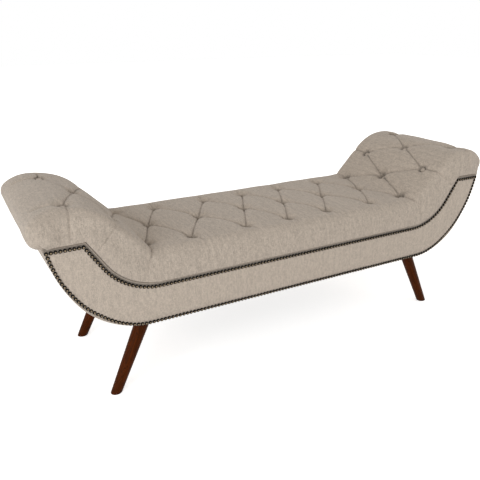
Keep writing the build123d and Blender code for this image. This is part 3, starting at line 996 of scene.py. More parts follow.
def cover_points(settings):
    """The tufted cover's points by column and row, their weave coordinates and painted shade."""
    along = cover_columns()
    rows = cross_rows(settings)
    roundings = {face: edge_rounding(along, face, settings) for face in (-1, 1)}
    top, foot = cushion_line(along), waist_line(faced_waist(along))
    fall = np.linalg.norm(foot[:, :2] - top[:, :2], axis=1)
    walls = {face: np.maximum(fall - rounding, LEAST_WALL) for face, rounding in roundings.items()}
    s = np.tile(along[:, None], (1, len(rows)))
    t = np.column_stack([developed_row(*row, roundings, walls) for row in rows])
    folds = button_folds(settings) + edge_pleats(settings) + arm_pleats(settings)
    outside = slice(-len(INNER_ROWS))
    s[:, outside] = pulled_to_folds(s[:, outside], t[:, outside], folds)
    height = crown_at(s, t, settings) - sunk(s, t, folds, settings)
    height += settings.pillow_rise * uneven(s, t, seed=5, size=0.16)
    height += gathers(s, t, settings) + scallops(s, t, settings)
    # Painted shade for the cloth's colour, darker in the creases and beside the buttons.
    shade = painted_shade_in_creases(s, t, folds, settings)
    points = np.empty((len(along), len(rows), 3))
    for j, (kind, face, value) in enumerate(rows):
        line = cushion_line(s[:, j])
        normal = upward(line)
        lift, rounding = height[:, j], roundings.get(face)
        if kind == "top":
            place, across = line[:, :2] + normal * lift[:, None], t[:, j]
        elif kind == "edge":
            raised = lift * cos(value) - rounding * (1 - cos(value))
            place = line[:, :2] + normal * raised[:, None]
            across = face * (HALF_DEPTH - rounding + (rounding + lift) * sin(value))
        elif kind == "wall":
            base = line[:, :2] - normal * rounding[:, None]
            ends = waist_line(faced_waist(s[:, j]))[:, :2]
            place = base + (ends - base) * value
            bulge = settings.wall_bulge * smooth(value / BULGE_RISE)
            curl = max(0.0, (value - FOOT_START) / (1 - FOOT_START)) ** FOOT_CURL
            tuck = settings.foot_tuck * curl
            across = face * (HALF_DEPTH + bulge - tuck + lift * (1 - value**3))
        else:
            ends = waist_line(faced_waist(s[:, j]))[:, :2]
            within = line[:, :2] - normal * settings.topper_thickness
            place = ends + (within - ends) * value
            across = np.full(len(along), face * (HALF_DEPTH - settings.topper_side))
        points[:, j, 0], points[:, j, 1], points[:, j, 2] = place[:, 0], across, place[:, 1]
        if kind == "wall" or (kind == "edge" and value > pi / 4):
            s[:, j] = place[:, 0]
            t[:, j] = face * (HALF_DEPTH + SEAT_HEIGHT - place[:, 1])
    return points, s, t, shade


def tufted_cover(settings):
    """Fabric over fibre, buttoned in diamonds, from one roll over the seat to the other."""
    points, s, t, shade = cover_points(settings)
    columns, rows, _ = points.shape
    faces = [tuple(f) for f in grid_faces(columns, rows)]
    for i in range(columns - 1):
        faces.append((i * rows, i * rows + rows - 1, (i + 1) * rows + rows - 1, (i + 1) * rows))
    faces += [tuple(i * rows + j for j in range(rows)) for i in (0, columns - 1)]
    uvs = np.column_stack((s.ravel(), t.ravel()))
    return marked(new_piece("tufted_cover", points.reshape(-1, 3), faces, uvs), "shade", shade)


# Foam: its mesh, the air round it, and the rounding and crown of its upper face. Heights in
# its section are shares of its own height.
FOAM_STEP = 0.012
FOAM_MIDDLE = 0.45
FOAM_SIDE = 0.8
FOAM_EDGE = 0.97
FOAM_GAP = 0.001
FOAM_ROUND = 0.012
FOAM_ROUND_TURNS = (0.3, 1.5, 5)
FOAM_TOP_POINTS = 9
FOAM_CROWN_START = 0.02
FOAM_PAST_ROLL = 0.004


def foam_block(name, low, high, settings):
    """A cut foam piece between two distances along the cushion, crowned and round-edged."""
    along = np.linspace(low, high, max(8, int((high - low) / FOAM_STEP)))
    top, foot = cushion_line(along), waist_line(faced_waist(along))
    upper = top[:, :2] - upward(top) * (settings.topper_thickness + FOAM_GAP)
    lower = foot[:, :2] + upward(foot) * (settings.deck_thickness + FOAM_GAP)
    ring = foam_ring(HALF_DEPTH - settings.topper_side - FOAM_GAP)
    count = len(ring)
    points = np.empty((len(along), count, 3))
    for j, (y, share) in enumerate(ring):
        place = lower + (upper - lower) * share
        points[:, j] = np.column_stack((place[:, 0], np.full(len(along), y), place[:, 1]))
    faces = []
    for i in range(len(along) - 1):
        for j in range(count):
            k = (j + 1) % count
            faces.append((i * count + j, i * count + k, (i + 1) * count + k, (i + 1) * count + j))
    faces.append(tuple(range(count))[::-1])
    faces.append(tuple((len(along) - 1) * count + j for j in range(count)))
    return new_piece(name, points.reshape(-1, 3), faces)


def foam_ring(half):
    """Section across a foam piece, as Y and share of its height: its upper edges are round."""
    rise, crown = FOAM_EDGE - FOAM_SIDE, 1 - FOAM_EDGE
    turns = np.linspace(*FOAM_ROUND_TURNS)
    edge = [(half - FOAM_ROUND * (1 - cos(a)), FOAM_SIDE + rise * sin(a)) for a in turns]
    middle = np.linspace(half - FOAM_CROWN_START, FOAM_CROWN_START - half, FOAM_TOP_POINTS)
    ring = [(-half, 0.0), (half, 0.0), (half, FOAM_MIDDLE), (half, FOAM_SIDE)] + edge
    ring += [(y, FOAM_EDGE + crown * (1 - (y / half) ** 2)) for y in middle]
    ring += [(-y, share) for y, share in reversed(edge)]
    return ring + [(-half, FOAM_SIDE), (-half, FOAM_MIDDLE)]


# ---- buttons --------------------------------------------------------------------------
BUTTON_SUNK = -0.0004
BUTTON_TURNS = 24
BUTTON_PROFILE = (
    (0.0045, -0.0030),
    (0.0080, -0.0014),
    (0.0088, 0.0000),
    (0.0087, 0.0014),
    (0.0078, 0.0027),
    (0.0062, 0.0037),
    (0.0043, 0.0044),
    (0.0022, 0.0048),
    (0.0004, 0.0049),
)


def covered_button(x, y, depth):
    """One domed button, pulled into its well: points, faces and weave coordinates."""
    points, faces = lathe(BUTTON_PROFILE, BUTTON_TURNS)
    uvs = points[:, :2] + (x, y)
    place_x, place_z, heading = cushion_line(np.array([flat_place(x)]))[0]
    outward = Vector((-sin(heading), 0, cos(heading)))
    onward = Vector((cos(heading), 0, sin(heading)))
    turn = Matrix((onward, Vector((0, 1, 0)), outward)).transposed()
    sunk_by = depth + drawn_further(x, y) + BUTTON_SUNK
    seat = Vector((place_x, y, place_z)) - outward * sunk_by
    return points @ np.array(turn).T + np.array(seat), faces, uvs


# ---- fascias, nail heads and belly covers ---------------------------------------------
# Distances from a panel's edge at which its points lie close together.
PANEL_STEPS = (0, 0.0008, 0.0018, 0.003, 0.0045, 0.006, 0.0075, 0.0095, 0.0115, 0.014, 0.018, 0.024, 0.032)
# Columns and middle rows of a panel's mesh, and the shares of its columns at each bend.
PANEL_COLUMNS = 190
PANEL_MIDDLE = 12
PANEL_KEYS = (0, 0.52, 0.78, 1)
# A panel's square ends, its slow waves, its nail groove and its crown.
PANEL_END = 0.05
PANEL_WAVE = 0.0004
GROOVE_WIDTH = 0.004
CROWN_START = 0.012
CROWN_RUN = 0.018
# Painted shadow: a strip of cloth beside the upper nail row coloured darker, where the cushion's edge
# shades the fascia.
STRIP_MIDDLE = 0.0070
STRIP_HALF = 0.0048
STRIP_SHADE = 1.3
# How far the lower nail row wanders inward from its margin, by the turn of the belly line.
NAIL_TURNS = (0, 12, 38, 56, 66)
NAIL_INSETS = (0.0006, 0, 0.0045, 0.0010, -0.0025)
# How fast the rows' drop fades as the belly line turns upward.
DROP_FADE = 8
# Seed of the nail heads' tilts, sides of their domes, and how far they tilt.
NAIL_SEED = 31
NAIL_FACETS = 14
NAIL_TILT = 0.035
# Mesh and wave of the belly covers, and their end laid over the shoulder.
BELLY_STEP = 0.006
BELLY_ROWS = 48
BELLY_WAVE = 0.0002
WRAP_RISE = 0.001
WRAP_THICKNESS = 0.0008
DUST_COLUMNS = 90
DUST_ROWS = 48


def ring_shares(width):
    """Shares across a strip of that width, close together near both of its edges."""
    near = [step / width for step in PANEL_STEPS]
    inner = np.linspace(near[-1], 1 - near[-1], PANEL_MIDDLE)
    return np.concatenate((near[:-1], inner, [1 - n for n in near[:-1]][::-1]))


def panel_lines(count):
    """Facing points on the body's lower and upper lines, from the left end to the right."""
    belly_end = FLAT_END + BELLY_RADIUS * radians(BELLY_TURN)
    elbow_end = ELBOW_START + ELBOW_RADIUS * radians(ELBOW_TURN)
    share = np.linspace(0, 1, count)
    lower = np.interp(share, PANEL_KEYS, (0, FLAT_END, belly_end, length_of(BELLY)))
    upper = np.interp(share, PANEL_KEYS, (0, ELBOW_START, elbow_end, length_of(WAIST[:3])))
    lower = np.concatenate((-lower[:0:-1], lower))
    upper = np.concatenate((-upper[:0:-1], upper))
    return both_ways(BELLY_START, BELLY, lower), waist_line(upper)


def panel_out(edge, settings):
    """How far a padded panel stands out at a distance from its nearest edge."""
    radius = settings.panel_edge_radius
    left = np.clip(1 - edge / radius, 0.0, 1.0)
    turned = radius * (1 - np.sqrt(1 - left * left))
    groove = settings.nail_groove * np.exp(-(((edge - TRIM_MARGIN) / GROOVE_WIDTH) ** 2))
    rise = 1 - np.exp(-np.maximum(edge - CROWN_START, 0) / CROWN_RUN)
    return HALF_DEPTH - turned - groove + settings.panel_crown * rise


def padded_panel(name, face, settings):
    """Padded fabric panel over one long side of the body."""
    low, high = panel_lines(PANEL_COLUMNS)
    columns = len(low)
    width = np.linalg.norm(high[:, :2] - low[:, :2], axis=1)
    shares = np.array([ring_shares(w) for w in width])
    place = low[:, None, :2] + (high - low)[:, None, :2] * shares[..., None]
    from_lines = np.minimum(shares, 1 - shares) * width[:, None]
    from_top = SHOULDER_HEIGHT - place[..., 1]
    ends = np.abs(place[..., 0]) > SHOULDER_INNER - PANEL_END
    edge = np.where(ends, np.minimum(from_lines, np.maximum(from_top, 0)), from_lines)
    wave = PANEL_WAVE * uneven(place[..., 0], place[..., 1], seed=21 + face, size=0.12)
    out = panel_out(edge, settings) + wave
    out = np.where(edge <= 0, BOARD_FACE, np.maximum(out, BOARD_FACE))
    points = np.stack((place[..., 0], face * out, place[..., 1]), -1)
    rows = points.shape[1]
    faces = [tuple(f if face < 0 else f[::-1]) for f in grid_faces(columns, rows)]
    outline = [i * rows for i in range(columns)]
    outline += [i * rows + rows - 1 for i in reversed(range(columns))]
    faces.append(tuple(outline if face > 0 else outline[::-1]))
    uvs = points[..., (0, 2)].reshape(-1, 2)
    # Painted shadow under the cushion's edge, in a strip along the upper line.
    from_upper = (1 - shares) * width[:, None]
    under = np.minimum(from_upper, np.where(ends, np.maximum(from_top, 0), from_upper))
    strip = STRIP_SHADE * np.exp(-(((under - STRIP_MIDDLE) / STRIP_HALF) ** 2))
    piece = marked(new_piece(name, points.reshape(-1, 3), faces, uvs), "shade", strip)
    # Painted light: every point of the panel is marked so that its cloth is coloured paler.
    return marked(piece, "painted_light", np.ones(len(piece.data.vertices)))


def trim_line(drop):
    """Moves along the nail heads' centre line, from the middle of the seat to the belly's."""
    inset = TRIM_MARGIN + drop
    turn = radians(ELBOW_TURN)
    top = SHOULDER_HEIGHT - inset
    radius = ELBOW_RADIUS + inset
    elbow_top = WAIST_HEIGHT - inset + radius * (1 - cos(turn))
    slope = (top - elbow_top) / sin(turn)
    end_x = ELBOW_START + radius * sin(turn) + slope * cos(turn)
    belly, flank = BELLY_RADIUS - TRIM_MARGIN, FLANK_RADIUS - TRIM_MARGIN
    start = BELLY_HEIGHT + TRIM_MARGIN + belly * (1 - cos(radians(BELLY_TURN)))
    whole = np.arccos(cos(radians(BELLY_TURN)) - (top - start) / flank)
    outer = FLAT_END + belly * sin(radians(BELLY_TURN))
    outer += flank * (sin(whole) - sin(radians(BELLY_TURN)))
    upper = [(0, ELBOW_START), (radius, ELBOW_TURN), (0, slope)]
    across = [(0, outer - NAIL_INSETS[-1] * sin(whole) - end_x)]
    lower = [(0, FLAT_END), (belly, BELLY_TURN), (flank, np.degrees(whole) - BELLY_TURN)]
    return upper, across, lower, top, end_x


def nail_places(pitch, drop):
    """X and Z of each nail head round one fascia."""
    upper, across, lower, top, end_x = trim_line(drop)
    runs = (
        ((0, WAIST_HEIGHT - TRIM_MARGIN - drop, 0), upper, True),
        ((end_x, top, 0), across, False),
        ((0, BELLY_HEIGHT + TRIM_MARGIN, 0), lower, True),
    )
    places = []
    for start, moves, from_centre in runs:
        count = round(length_of(moves) / pitch)
        found = walk(start, moves, np.linspace(0, length_of(moves), count + 1))
        if moves is lower:
            inward = np.interp(found[:, 2], np.radians(NAIL_TURNS), NAIL_INSETS)
            inward = inward - drop * np.cos(found[:, 2]) ** DROP_FADE
            found[:, :2] += upward(found) * inward[:, None]
        for x, z, _ in found if from_centre else found[1:-1]:
            places += [(x, z)] if x < pitch / 4 else [(x, z), (-x, z)]
    return places


NAIL_PROFILE = (
    (0.0049, -0.0006),
    (0.0051, 0.0006),
    (0.0050, 0.0016),
    (0.0046, 0.0025),
    (0.0038, 0.0033),
    (0.0027, 0.0039),
    (0.0014, 0.0042),
    (0.0002, 0.0043),
)


def nail_heads(name, face, settings):
    """Row of domed nail heads that touch, all round a fascia."""
    dome, faces = lathe(NAIL_PROFILE, NAIL_FACETS)
    if face > 0:
        faces = [f[::-1] for f in faces]
    crown = dome[:, 2] / NAIL_PROFILE[-1][1]
    dice = np.random.default_rng(NAIL_SEED + face)
    surface = face * (HALF_DEPTH - settings.nail_groove * 0.5)
    parts = []
    for x, z in nail_places(settings.nail_pitch, settings.nail_drop):
        tilt = dice.normal(0, NAIL_TILT, 2)
        out = dome[:, 2] + (tilt[0] * dome[:, 0] + tilt[1] * dome[:, 1])
        points = np.column_stack((dome[:, 0] + x, surface + face * out, dome[:, 1] + z))
        parts.append((points, faces, points[:, (0, 2)]))
    return marked(joined(name, parts), "crown", np.tile(crown, len(parts)))


def belly_cover(side, settings):
    """Fabric drawn round the underside and up behind one arm, to under the roll."""
    line_end, over_top = length_of(BELLY), settings.shoulder_wrap
    along = np.append(np.arange(SKIN_START, line_end, BELLY_STEP), line_end)
    outer = walk(BELLY_START, BELLY, along)
    inward = upward(outer)
    lift = BELLY_WAVE * uneven(along, along * 0, seed=41, size=0.09)
    runs_in = (0.0, over_top / 2, over_top)
    wrap = np.array([(SHOULDER_OUTER - run, SHOULDER_HEIGHT + WRAP_RISE) for run in runs_in])
    outside = np.concatenate((outer[:, :2] - inward * lift[:, None], wrap))
    inside = outer[:, :2] + inward * settings.belly_cover_thickness
    inside = np.concatenate((inside, wrap - (0, WRAP_THICKNESS)))
    inside[-3] = inside[-4]
    ring = np.concatenate((outside, inside[::-1]))
    rows = np.linspace(-BOARD_FACE, BOARD_FACE, BELLY_ROWS)
    points = np.empty((len(ring), len(rows), 3))
    for j, y in enumerate(rows):
        points[:, j] = np.column_stack((side * ring[:, 0], np.full(len(ring), y), ring[:, 1]))
    quads = grid_faces(len(ring), len(rows), around=True)
    faces = [tuple(f if side > 0 else f[::-1]) for f in quads]
    count = len(rows)
    for j in (0, count - 1):
        for i in range(len(outside) - 1):
            a, b = i * count + j, (i + 1) * count + j
            c, d = (len(ring) - 2 - i) * count + j, (len(ring) - 1 - i) * count + j
            faces.append((a, b, c, d) if (j == 0) == (side > 0) else (d, c, b, a))
    run = np.concatenate(([0], np.cumsum(np.linalg.norm(np.diff(ring, axis=0), axis=1))))
    uvs = np.stack(np.broadcast_arrays(rows[None, :], run[:, None]), -1).reshape(-1, 2)
    piece = new_piece(f"{side_name(side)}_belly_fabric", points.reshape(-1, 3), faces, uvs)
    return piece, (2 * BOARD_FACE, float(line_end - SKIN_START + over_top))


def dust_sheet(settings):
    """Thin cloth stapled under the flat middle, which sags a little."""
    low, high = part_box("dust_cover")
    xs = np.linspace(low.x, high.x, DUST_COLUMNS)
    ys = np.linspace(low.y, high.y, DUST_ROWS)
    x, y = np.meshgrid(xs, ys, indexing="ij")
    span = (1 - (x / high.x) ** 2) * (1 - (y / high.y) ** 2)
    pull = settings.dust_ripple * uneven(x, y, seed=51, size=0.10) * span**0.5
    sag = np.clip(settings.dust_sag * span + pull, 0, None)
    lower = np.stack((x, y, low.z - sag), -1).reshape(-1, 3)
    upper = lower + (0, 0, high.z - low.z)
    faces = [tuple(f[::-1]) for f in grid_faces(len(xs), len(ys))]
    start = len(lower)
    faces += [tuple(v + start for v in f[::-1]) for f in faces]
    rim = [i * len(ys) for i in range(len(xs))]
    rim += [(len(xs) - 1) * len(ys) + j for j in range(1, len(ys))]
    rim += [i * len(ys) + len(ys) - 1 for i in reversed(range(len(xs) - 1))]
    rim += [j for j in reversed(range(1, len(ys) - 1))]
    for a, b in zip(rim, rim[1:] + rim[:1]):
        faces.append((a, b, b + start, a + start))
    uvs = np.tile(lower[:, :2], (2, 1))
    piece = new_piece("dust_cloth", np.concatenate((lower, upper)), faces, uvs)
    return piece, (xs[-1] - xs[0], ys[-1] - ys[0])


# ---- legs -----------------------------------------------------------------------------
# Mesh of a leg, its gap under the belly cover, and the steps that find its ends.
LEG_TURNS = 48
LEG_LEVELS = 26
LEG_GAP = 0.0015
LEG_TRIES = 12
# Steps down the foot's rounded edge, and in towards the leg's heart, as shares of its size.
FOOT_CURVE = ((0.25, 0.06), (0.55, 0.25), (0.85, 0.60), (1.0, 1.0))


def belly_at(x):
    """Height of the body's underside over X."""
    beyond = np.maximum(np.abs(x) - FLAT_END, 0)
    return BELLY_HEIGHT + BELLY_RADIUS - np.sqrt(BELLY_RADIUS**2 - beyond**2)


def turned_leg(name, side, face, settings):
    """Round tapered leg, splayed, cut to the underside and to the floor."""
    along, across = tan(radians(LEG_SPLAY_ALONG)), tan(radians(LEG_SPLAY_ACROSS))
    slant = sqrt(1 + along**2 + across**2)
    axis = Vector((side * along, face * across, -1.0)) / slant
    from_middle = side * (FLAT_END + LEG_BEYOND_FLAT)
    centre = Vector((from_middle, face * (HALF_DEPTH - LEG_FACE_GAP), BELLY_HEIGHT))
    first = Vector((0, 1, 0)).cross(axis).normalized()
    second = axis.cross(first)
    length = BELLY_HEIGHT * slant
    taper = (LEG_TOP_RADIUS - LEG_FOOT_RADIUS) / length
    heart = centre + axis * length
    rounding = settings.foot_rounding
    points, uvs = [], []
    for index, angle in enumerate(np.arange(LEG_TURNS) * 2 * pi / LEG_TURNS):
        spoke = first * cos(angle) + second * sin(angle)
        top = leg_reach(centre, spoke, axis, taper, belly=True)
        end = leg_reach(centre, spoke, axis, taper, belly=False)
        round_run = index * LEG_TOP_RADIUS * 2 * pi / LEG_TURNS
        for share in np.linspace(0, 1, LEG_LEVELS):
            d = top + (end - rounding - top) * share
            points.append(centre + axis * d + spoke * (LEG_TOP_RADIUS - taper * d))
            uvs.append((round_run, d))
        base = points[-1]
        floor_point = centre + axis * end + spoke * (LEG_TOP_RADIUS - taper * end)
        for down, inward in FOOT_CURVE:
            p = base + (floor_point - base) * down
            pull = (heart - floor_point).normalized() * (rounding * inward)
            points.append(Vector((p.x + pull.x, p.y + pull.y, max(p.z, 0.0))))
            uvs.append((round_run, end + inward * rounding))
    rows = LEG_LEVELS + len(FOOT_CURVE)
    faces = list(grid_faces(LEG_TURNS, rows, around=True))
    faces.append(tuple(i * rows for i in range(LEG_TURNS))[::-1])
    faces.append(tuple(i * rows + rows - 1 for i in range(LEG_TURNS)))
    return new_piece(name, points, faces, uvs)


def leg_reach(centre, spoke, axis, taper, belly):
    """Distance down the axis at which a side line of the leg meets the underside or floor."""
    d = 0.0
    for _ in range(LEG_TRIES):
        p = centre + axis * d + spoke * (LEG_TOP_RADIUS - taper * d)
        level = float(belly_at(p.x)) + LEG_GAP if belly else 0.0
        d += (p.z - level) / abs(axis.z)
    return d


# ---- properties -----------------------------------------------------------------------
def metres(name, description, default, **limits):
    """A setting that is a length in metres."""
    return FloatProperty(
        name=name, description=description, default=default, unit="LENGTH", **limits
    )


def two_in_metres(name, description, default, **limits):
    """A setting that is a pair of lengths in metres."""
    return FloatVectorProperty(
        name=name, description=description, default=default, size=2, unit="LENGTH", **limits
    )


def portion(name, description, default):
    """A setting between 0 and 1."""
    return FloatProperty(name=name, description=description, default=default, min=0.0, max=1.0)


def colour(name, description, default):
    """A setting that is a colour as the eye sees it, with parts from 0 to 1."""
    return FloatVectorProperty(
        name=name,
        description=description,
        default=default,
        size=3,
        min=0.0,
        max=1.0,
        subtype="COLOR_GAMMA",
    )


class BenchPadding(bpy.types.PropertyGroup):
    """Sizes of the soft parts."""

    crease_depth: metres(
        "Crease depth", "Depth of the creases halfway between two buttons", 0.0045, min=0.0
    )
    crease_slit: metres(
        "Crease slit",
        "Further depth of the narrow slit at the bottom of each crease",
        0.0062,
        min=0.0,
    )
    pillow_round: metres(
        "Pillow rounding", "How far from a crease its pillow reaches full height", 0.036, min=0.005
    )
    pleat_round: metres(
        "Pleat rounding",
        "How far from an edge pleat the cover reaches full height",
        0.020,
        min=0.005,
    )
    nose_pleat_round: metres(
        "Nose pleat rounding",
        "The same for the pleats that run along the roll to its nose",
        0.032,
        min=0.005,
    )
    seat_crown: metres("Seat crown", "Lift of the filling along the middle of the seat", 0.0065)
    left_roll_crown: two_in_metres(
        "Left roll crown",
        "Lift of the filling on the left roll, at its crest and on its nose",
        (-0.001, 0.0050),
    )
    right_roll_crown: two_in_metres(
        "Right roll crown",
        "Lift of the filling on the right roll, at its crest and on its nose",
        (0.008, -0.0035),
    )
    edge_scallop: metres(
        "Edge scallops", "Dip of the front and back edges opposite each pleat", 0.0025
    )
    well_radius: metres(
        "Well radius", "How far from a button's centre its well reaches", 0.045, min=0.015
    )
    crest_well_radius: metres(
        "Crest well radius", "The same for the buttons on the crests of the rolls", 0.062, min=0.015
    )
    well_steepness: FloatProperty(
        name="Well steepness",
        description="How sharply a well's sides rise from its button",
        default=3.0,
        min=1.0,
    )
    well_hollow: metres(
        "Well hollow", "How far the cloth is drawn in below the rim of a button", 0.008
    )
    pillow_rise: metres(
        "Uneven filling", "Height of the slow rise and fall over the pillows", 0.0007
    )
    gather_height: metres("Gathers", "Height of the small ripples round each button", 0.0008)
    pleat_lean: metres("Pleat lean", "Sideways run of the front pleats of the seat", 0.016)
    pleat_reach: metres(
        "Pleat reach", "Run of the front pleats of the seat towards its edge", 0.045
    )
    edge_radius: metres(
        "Front edge radius", "Rounding of the cushion's front edge", 0.041, min=0.005
    )
    back_edge_radius: metres(
        "Back edge radius", "Rounding of the cushion's back edge", 0.029, min=0.005
    )
    slope_edge_radius: metres(
        "Slope edge radius",
        "Rounding of the cushion's front edge on the slopes of the arms",
        0.024,
        min=0.005,
    )
    crest_edge_radius: two_in_metres(
        "Crest edge radius",
        "Rounding of the front edge at the crest of the left and of the right roll",
        (0.052, 0.020),
        min=0.005,
    )
    nose_edge_radius: metres(
        "Nose edge radius",
        "Rounding of the front and back edges at the nose of each roll",
        0.014,
        min=0.004,
    )
    wall_bulge: metres(
        "Wall bulge", "How far the cushion's front and back stand out over the fascias", 0.006
    )
    foot_tuck: metres("Foot tuck", "How far the cover is drawn in where it meets a fascia", 0.0105)
    topper_thickness: metres("Topper thickness", "Fibre and fabric over the foam", 0.030)
    topper_side: metres(
        "Topper at the sides", "Fibre and fabric down the front and back of the foam", 0.012
    )
    deck_thickness: metres("Deck thickness", "Plywood under the foam", 0.006)
    panel_edge_radius: metres(
        "Panel edge radius", "Rounding of a fascia's padded edge", 0.0028, min=0.001
    )
    panel_crown: metres("Panel crown", "Further rise of a fascia inside its nail row", 0.0012)
    nail_groove: metres("Nail groove", "How far the nails press into a fascia", 0.0018)
    nail_pitch: metres(
        "Nail pitch", "Distance between the centres of neighbouring nail heads", 0.0112, min=0.004
    )
    nail_drop: metres(
        "Nail drop", "How far the nail rows are set below the middle of their margin", 0.0042
    )
    belly_cover_thickness: metres(
        "Belly cover thickness", "Fabric and wadding under the body and behind the arms", 0.002
    )
    shoulder_wrap: metres(
        "Shoulder wrap", "How far the belly cover runs in over the shoulder, under the roll", 0.020
    )
    dust_sag: metres("Dust cover sag", "Drop of the dust cover at its middle", 0.003)
    dust_ripple: metres("Dust cover ripple", "Height of the dust cover's slack ripples", 0.0006)
    foot_rounding: metres("Foot rounding", "Rounded edge at the floor end of each leg", 0.0015)


class BenchFinish(bpy.types.PropertyGroup):
    """Colours and scales of the finishes."""

    linen_colour: colour("Linen", "Colour of the covering fabric", (0.735, 0.690, 0.640))
    # Painted light: how much paler the cloth is coloured over the fascias.
    painted_panel_light: portion(
        "Painted panel light",
        "How much paler the fabric is where it is stretched flat over a fascia",
        0.09,
    )
    # Painted shade: how much darker the cloth is coloured in its creases, beside its buttons and under the
    # cushion's edge.
    painted_shade: portion(
        "Crease shade",
        "How much darker the fabric is down in its creases and beside its buttons",
        0.55,
    )
    weave_repeat: metres(
        "Weave repeat", "Distance over which the weave repeats: two threads", 0.0014, min=0.0002
    )
    leg_colour: colour("Leg stain", "Colour of the stained legs", (0.270, 0.120, 0.025))
    nail_colour: colour(
        "Nail bronze", "Colour of the nail heads between rim and crown", (0.215, 0.190, 0.155)
    )


class BenchStage(bpy.types.PropertyGroup):
    """Light, floor and camera."""

    camera_place: FloatVectorProperty(
        name="Camera place",
        description="Where the camera stands",
        default=(-0.9629, -1.556, 0.9884),
        size=3,
        subtype="TRANSLATION",
    )
    camera_aim: FloatVectorProperty(
        name="Camera aim",
        description="Direction in which the camera looks",
        default=(0.4571, 0.8155, -0.3548),
        size=3,
        subtype="DIRECTION",
    )
    camera_lens: FloatProperty(
        name="Lens",
        description="Focal length on a 36 mm sensor",
        default=42.58,
        unit="CAMERA",
    )
    key_strength: FloatProperty(
        name="Key light",
        description="Power of the large soft lamp at the front",
        default=72.0,
        unit="POWER",
    )
    fill_strength: FloatProperty(
        name="Fill light",
        description="Power of the soft lamp at the other side",
        default=22.0,
        unit="POWER",
    )
    sky_strength: FloatProperty(
        name="Room light",
        description="Strength of the even light from all round",
        default=0.53,
        min=0.0,
    )
    floor_white: FloatProperty(
        name="Floor white",
        description="How much the camera sees the floor lifted towards white",
        default=0.64,
        min=0.0,
    )
    floor_half: IntProperty(
        name="Floor size",
        description="Metres from the floor's middle to its edge",
        default=14,
        min=2,
    )


# ---- operators ------------------------------------------------------------------------
class BENCH_OT_cover(bpy.types.Operator):
    """Build the tufted cover over the seat and both arms."""

    bl_idname = "bench.cover"
    bl_label = "Tufted Cover"

    def execute(self, context):
        piece = tufted_cover(context.scene.bench_padding)
        wear(piece, linen_material())
        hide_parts("seat_topper", "left_arm_topper", "right_arm_topper")
        return {"FINISHED"}


class BENCH_OT_foam(bpy.types.Operator):
    """Build the foam under the tufted cover."""

    bl_idname = "bench.foam"
    bl_label = "Foam"

    def execute(self, context):
        settings = context.scene.bench_padding
        split = distance_at(SEAT_END)
        end = length_of(CUSHION[:5]) + FOAM_PAST_ROLL
        spans = (
            ("seat_foam_block", "seat_foam", -split, split),
            ("left_arm_foam_block", "left_arm_foam", -end, -split),
            ("right_arm_foam_block", "right_arm_foam", split, end),
        )
        for name, node, low, high in spans:
            piece = foam_block(name, low, high, settings)
            wear(piece, finish_named("seat_foam_cells", open_foam))
            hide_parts(node)
        return {"FINISHED"}


class BENCH_OT_buttons(bpy.types.Operator):
    """Build the covered buttons of the seat and of both arms."""

    bl_idname = "bench.buttons"
    bl_label = "Covered Buttons"

    def execute(self, context):
        groups = {"seat": [], "left_arm": [], "right_arm": []}
        for x, y, depth in buttons():
            group = "seat" if abs(x) < SEAT_END else f"{side_name(x)}_arm"
            groups[group].append(covered_button(x, y, depth))
        for group, parts in groups.items():
            piece = joined(f"{group}_covered_buttons", parts)
            wear(piece, linen_material())
            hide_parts(f"{group}_buttons")
        return {"FINISHED"}


class BENCH_OT_fascias(bpy.types.Operator):
    """Build the padded panels on the front and back of the body."""

    bl_idname = "bench.fascias"
    bl_label = "Fascias"

    def execute(self, context):
        for name, face in (("front", -1), ("back", 1)):
            piece = padded_panel(f"{name}_padded_panel", face, context.scene.bench_padding)
            wear(piece, linen_material())
            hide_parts(f"{name}_fascia")
        return {"FINISHED"}


class BENCH_OT_nails(bpy.types.Operator):
    """Set the decorative nail heads round both fascias."""

    bl_idname = "bench.nails"
    bl_label = "Nail Heads"

    def execute(self, context):
        material = finish_named("antique_bronze", bronze, context.scene.bench_finish)
        for name, face in (("front", -1), ("back", 1)):
            piece = nail_heads(f"{name}_nail_heads", face, context.scene.bench_padding)
            wear(piece, material)
            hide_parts(f"{name}_nail_trim")
        return {"FINISHED"}


class BENCH_OT_belly(bpy.types.Operator):
    """Stretch the covers round the underside and hang the dust cloth."""

    bl_idname = "bench.belly"
    bl_label = "Belly Covers and Dust Cloth"

    def execute(self, context):
        settings = context.scene.bench_padding
        for side in (-1, 1):
            piece, flat = belly_cover(side, settings)
            end = side_name(side)
            wear(piece, linen_material())
            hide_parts(f"{end}_belly_cover")
        piece, flat = dust_sheet(settings)
        wear(piece, finish_named("black_dust_cloth", dust_cloth))
        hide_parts("dust_cover")
        return {"FINISHED"}


class BENCH_OT_legs(bpy.types.Operator):
    """Turn the four splayed legs."""

    bl_idname = "bench.legs"
    bl_label = "Legs"

    def execute(self, context):
        material = finish_named("walnut_stain", walnut, context.scene.bench_finish)
        for row, face in (("front", -1), ("back", 1)):
            for side in (-1, 1):
                name = f"{row}_{side_name(side)}"
                piece = turned_leg(f"{name}_turned_leg", side, face, context.scene.bench_padding)
                wear(piece, material)
                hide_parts(f"{name}_leg")
        return {"FINISHED"}


class BENCH_OT_frame(bpy.types.Operator):
    """Give the timber, plywood and fixings of the body their finishes."""

    bl_idname = "bench.frame"
    bl_label = "Timber and Fixings"

    def execute(self, context):
        birch = timber("birch_plywood", (0.80, 0.68, 0.50), (3.0, 9.0, 9.0), layered=True)
        pine = timber("pine_rail", (0.84, 0.70, 0.48), (14.0, 2.0, 14.0))
        metal = finish_named("zinc_plate", zinc)
        kinds = ((pine, "rail block"), (metal, "insert bolt"), (birch, "board deck skin"))
        for name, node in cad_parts.items():
            for material, words in kinds:
                if any(word in name for word in words.split()):
                    node.data.materials.clear()
                    node.data.materials.append(material)
                    break
        return {"FINISHED"}


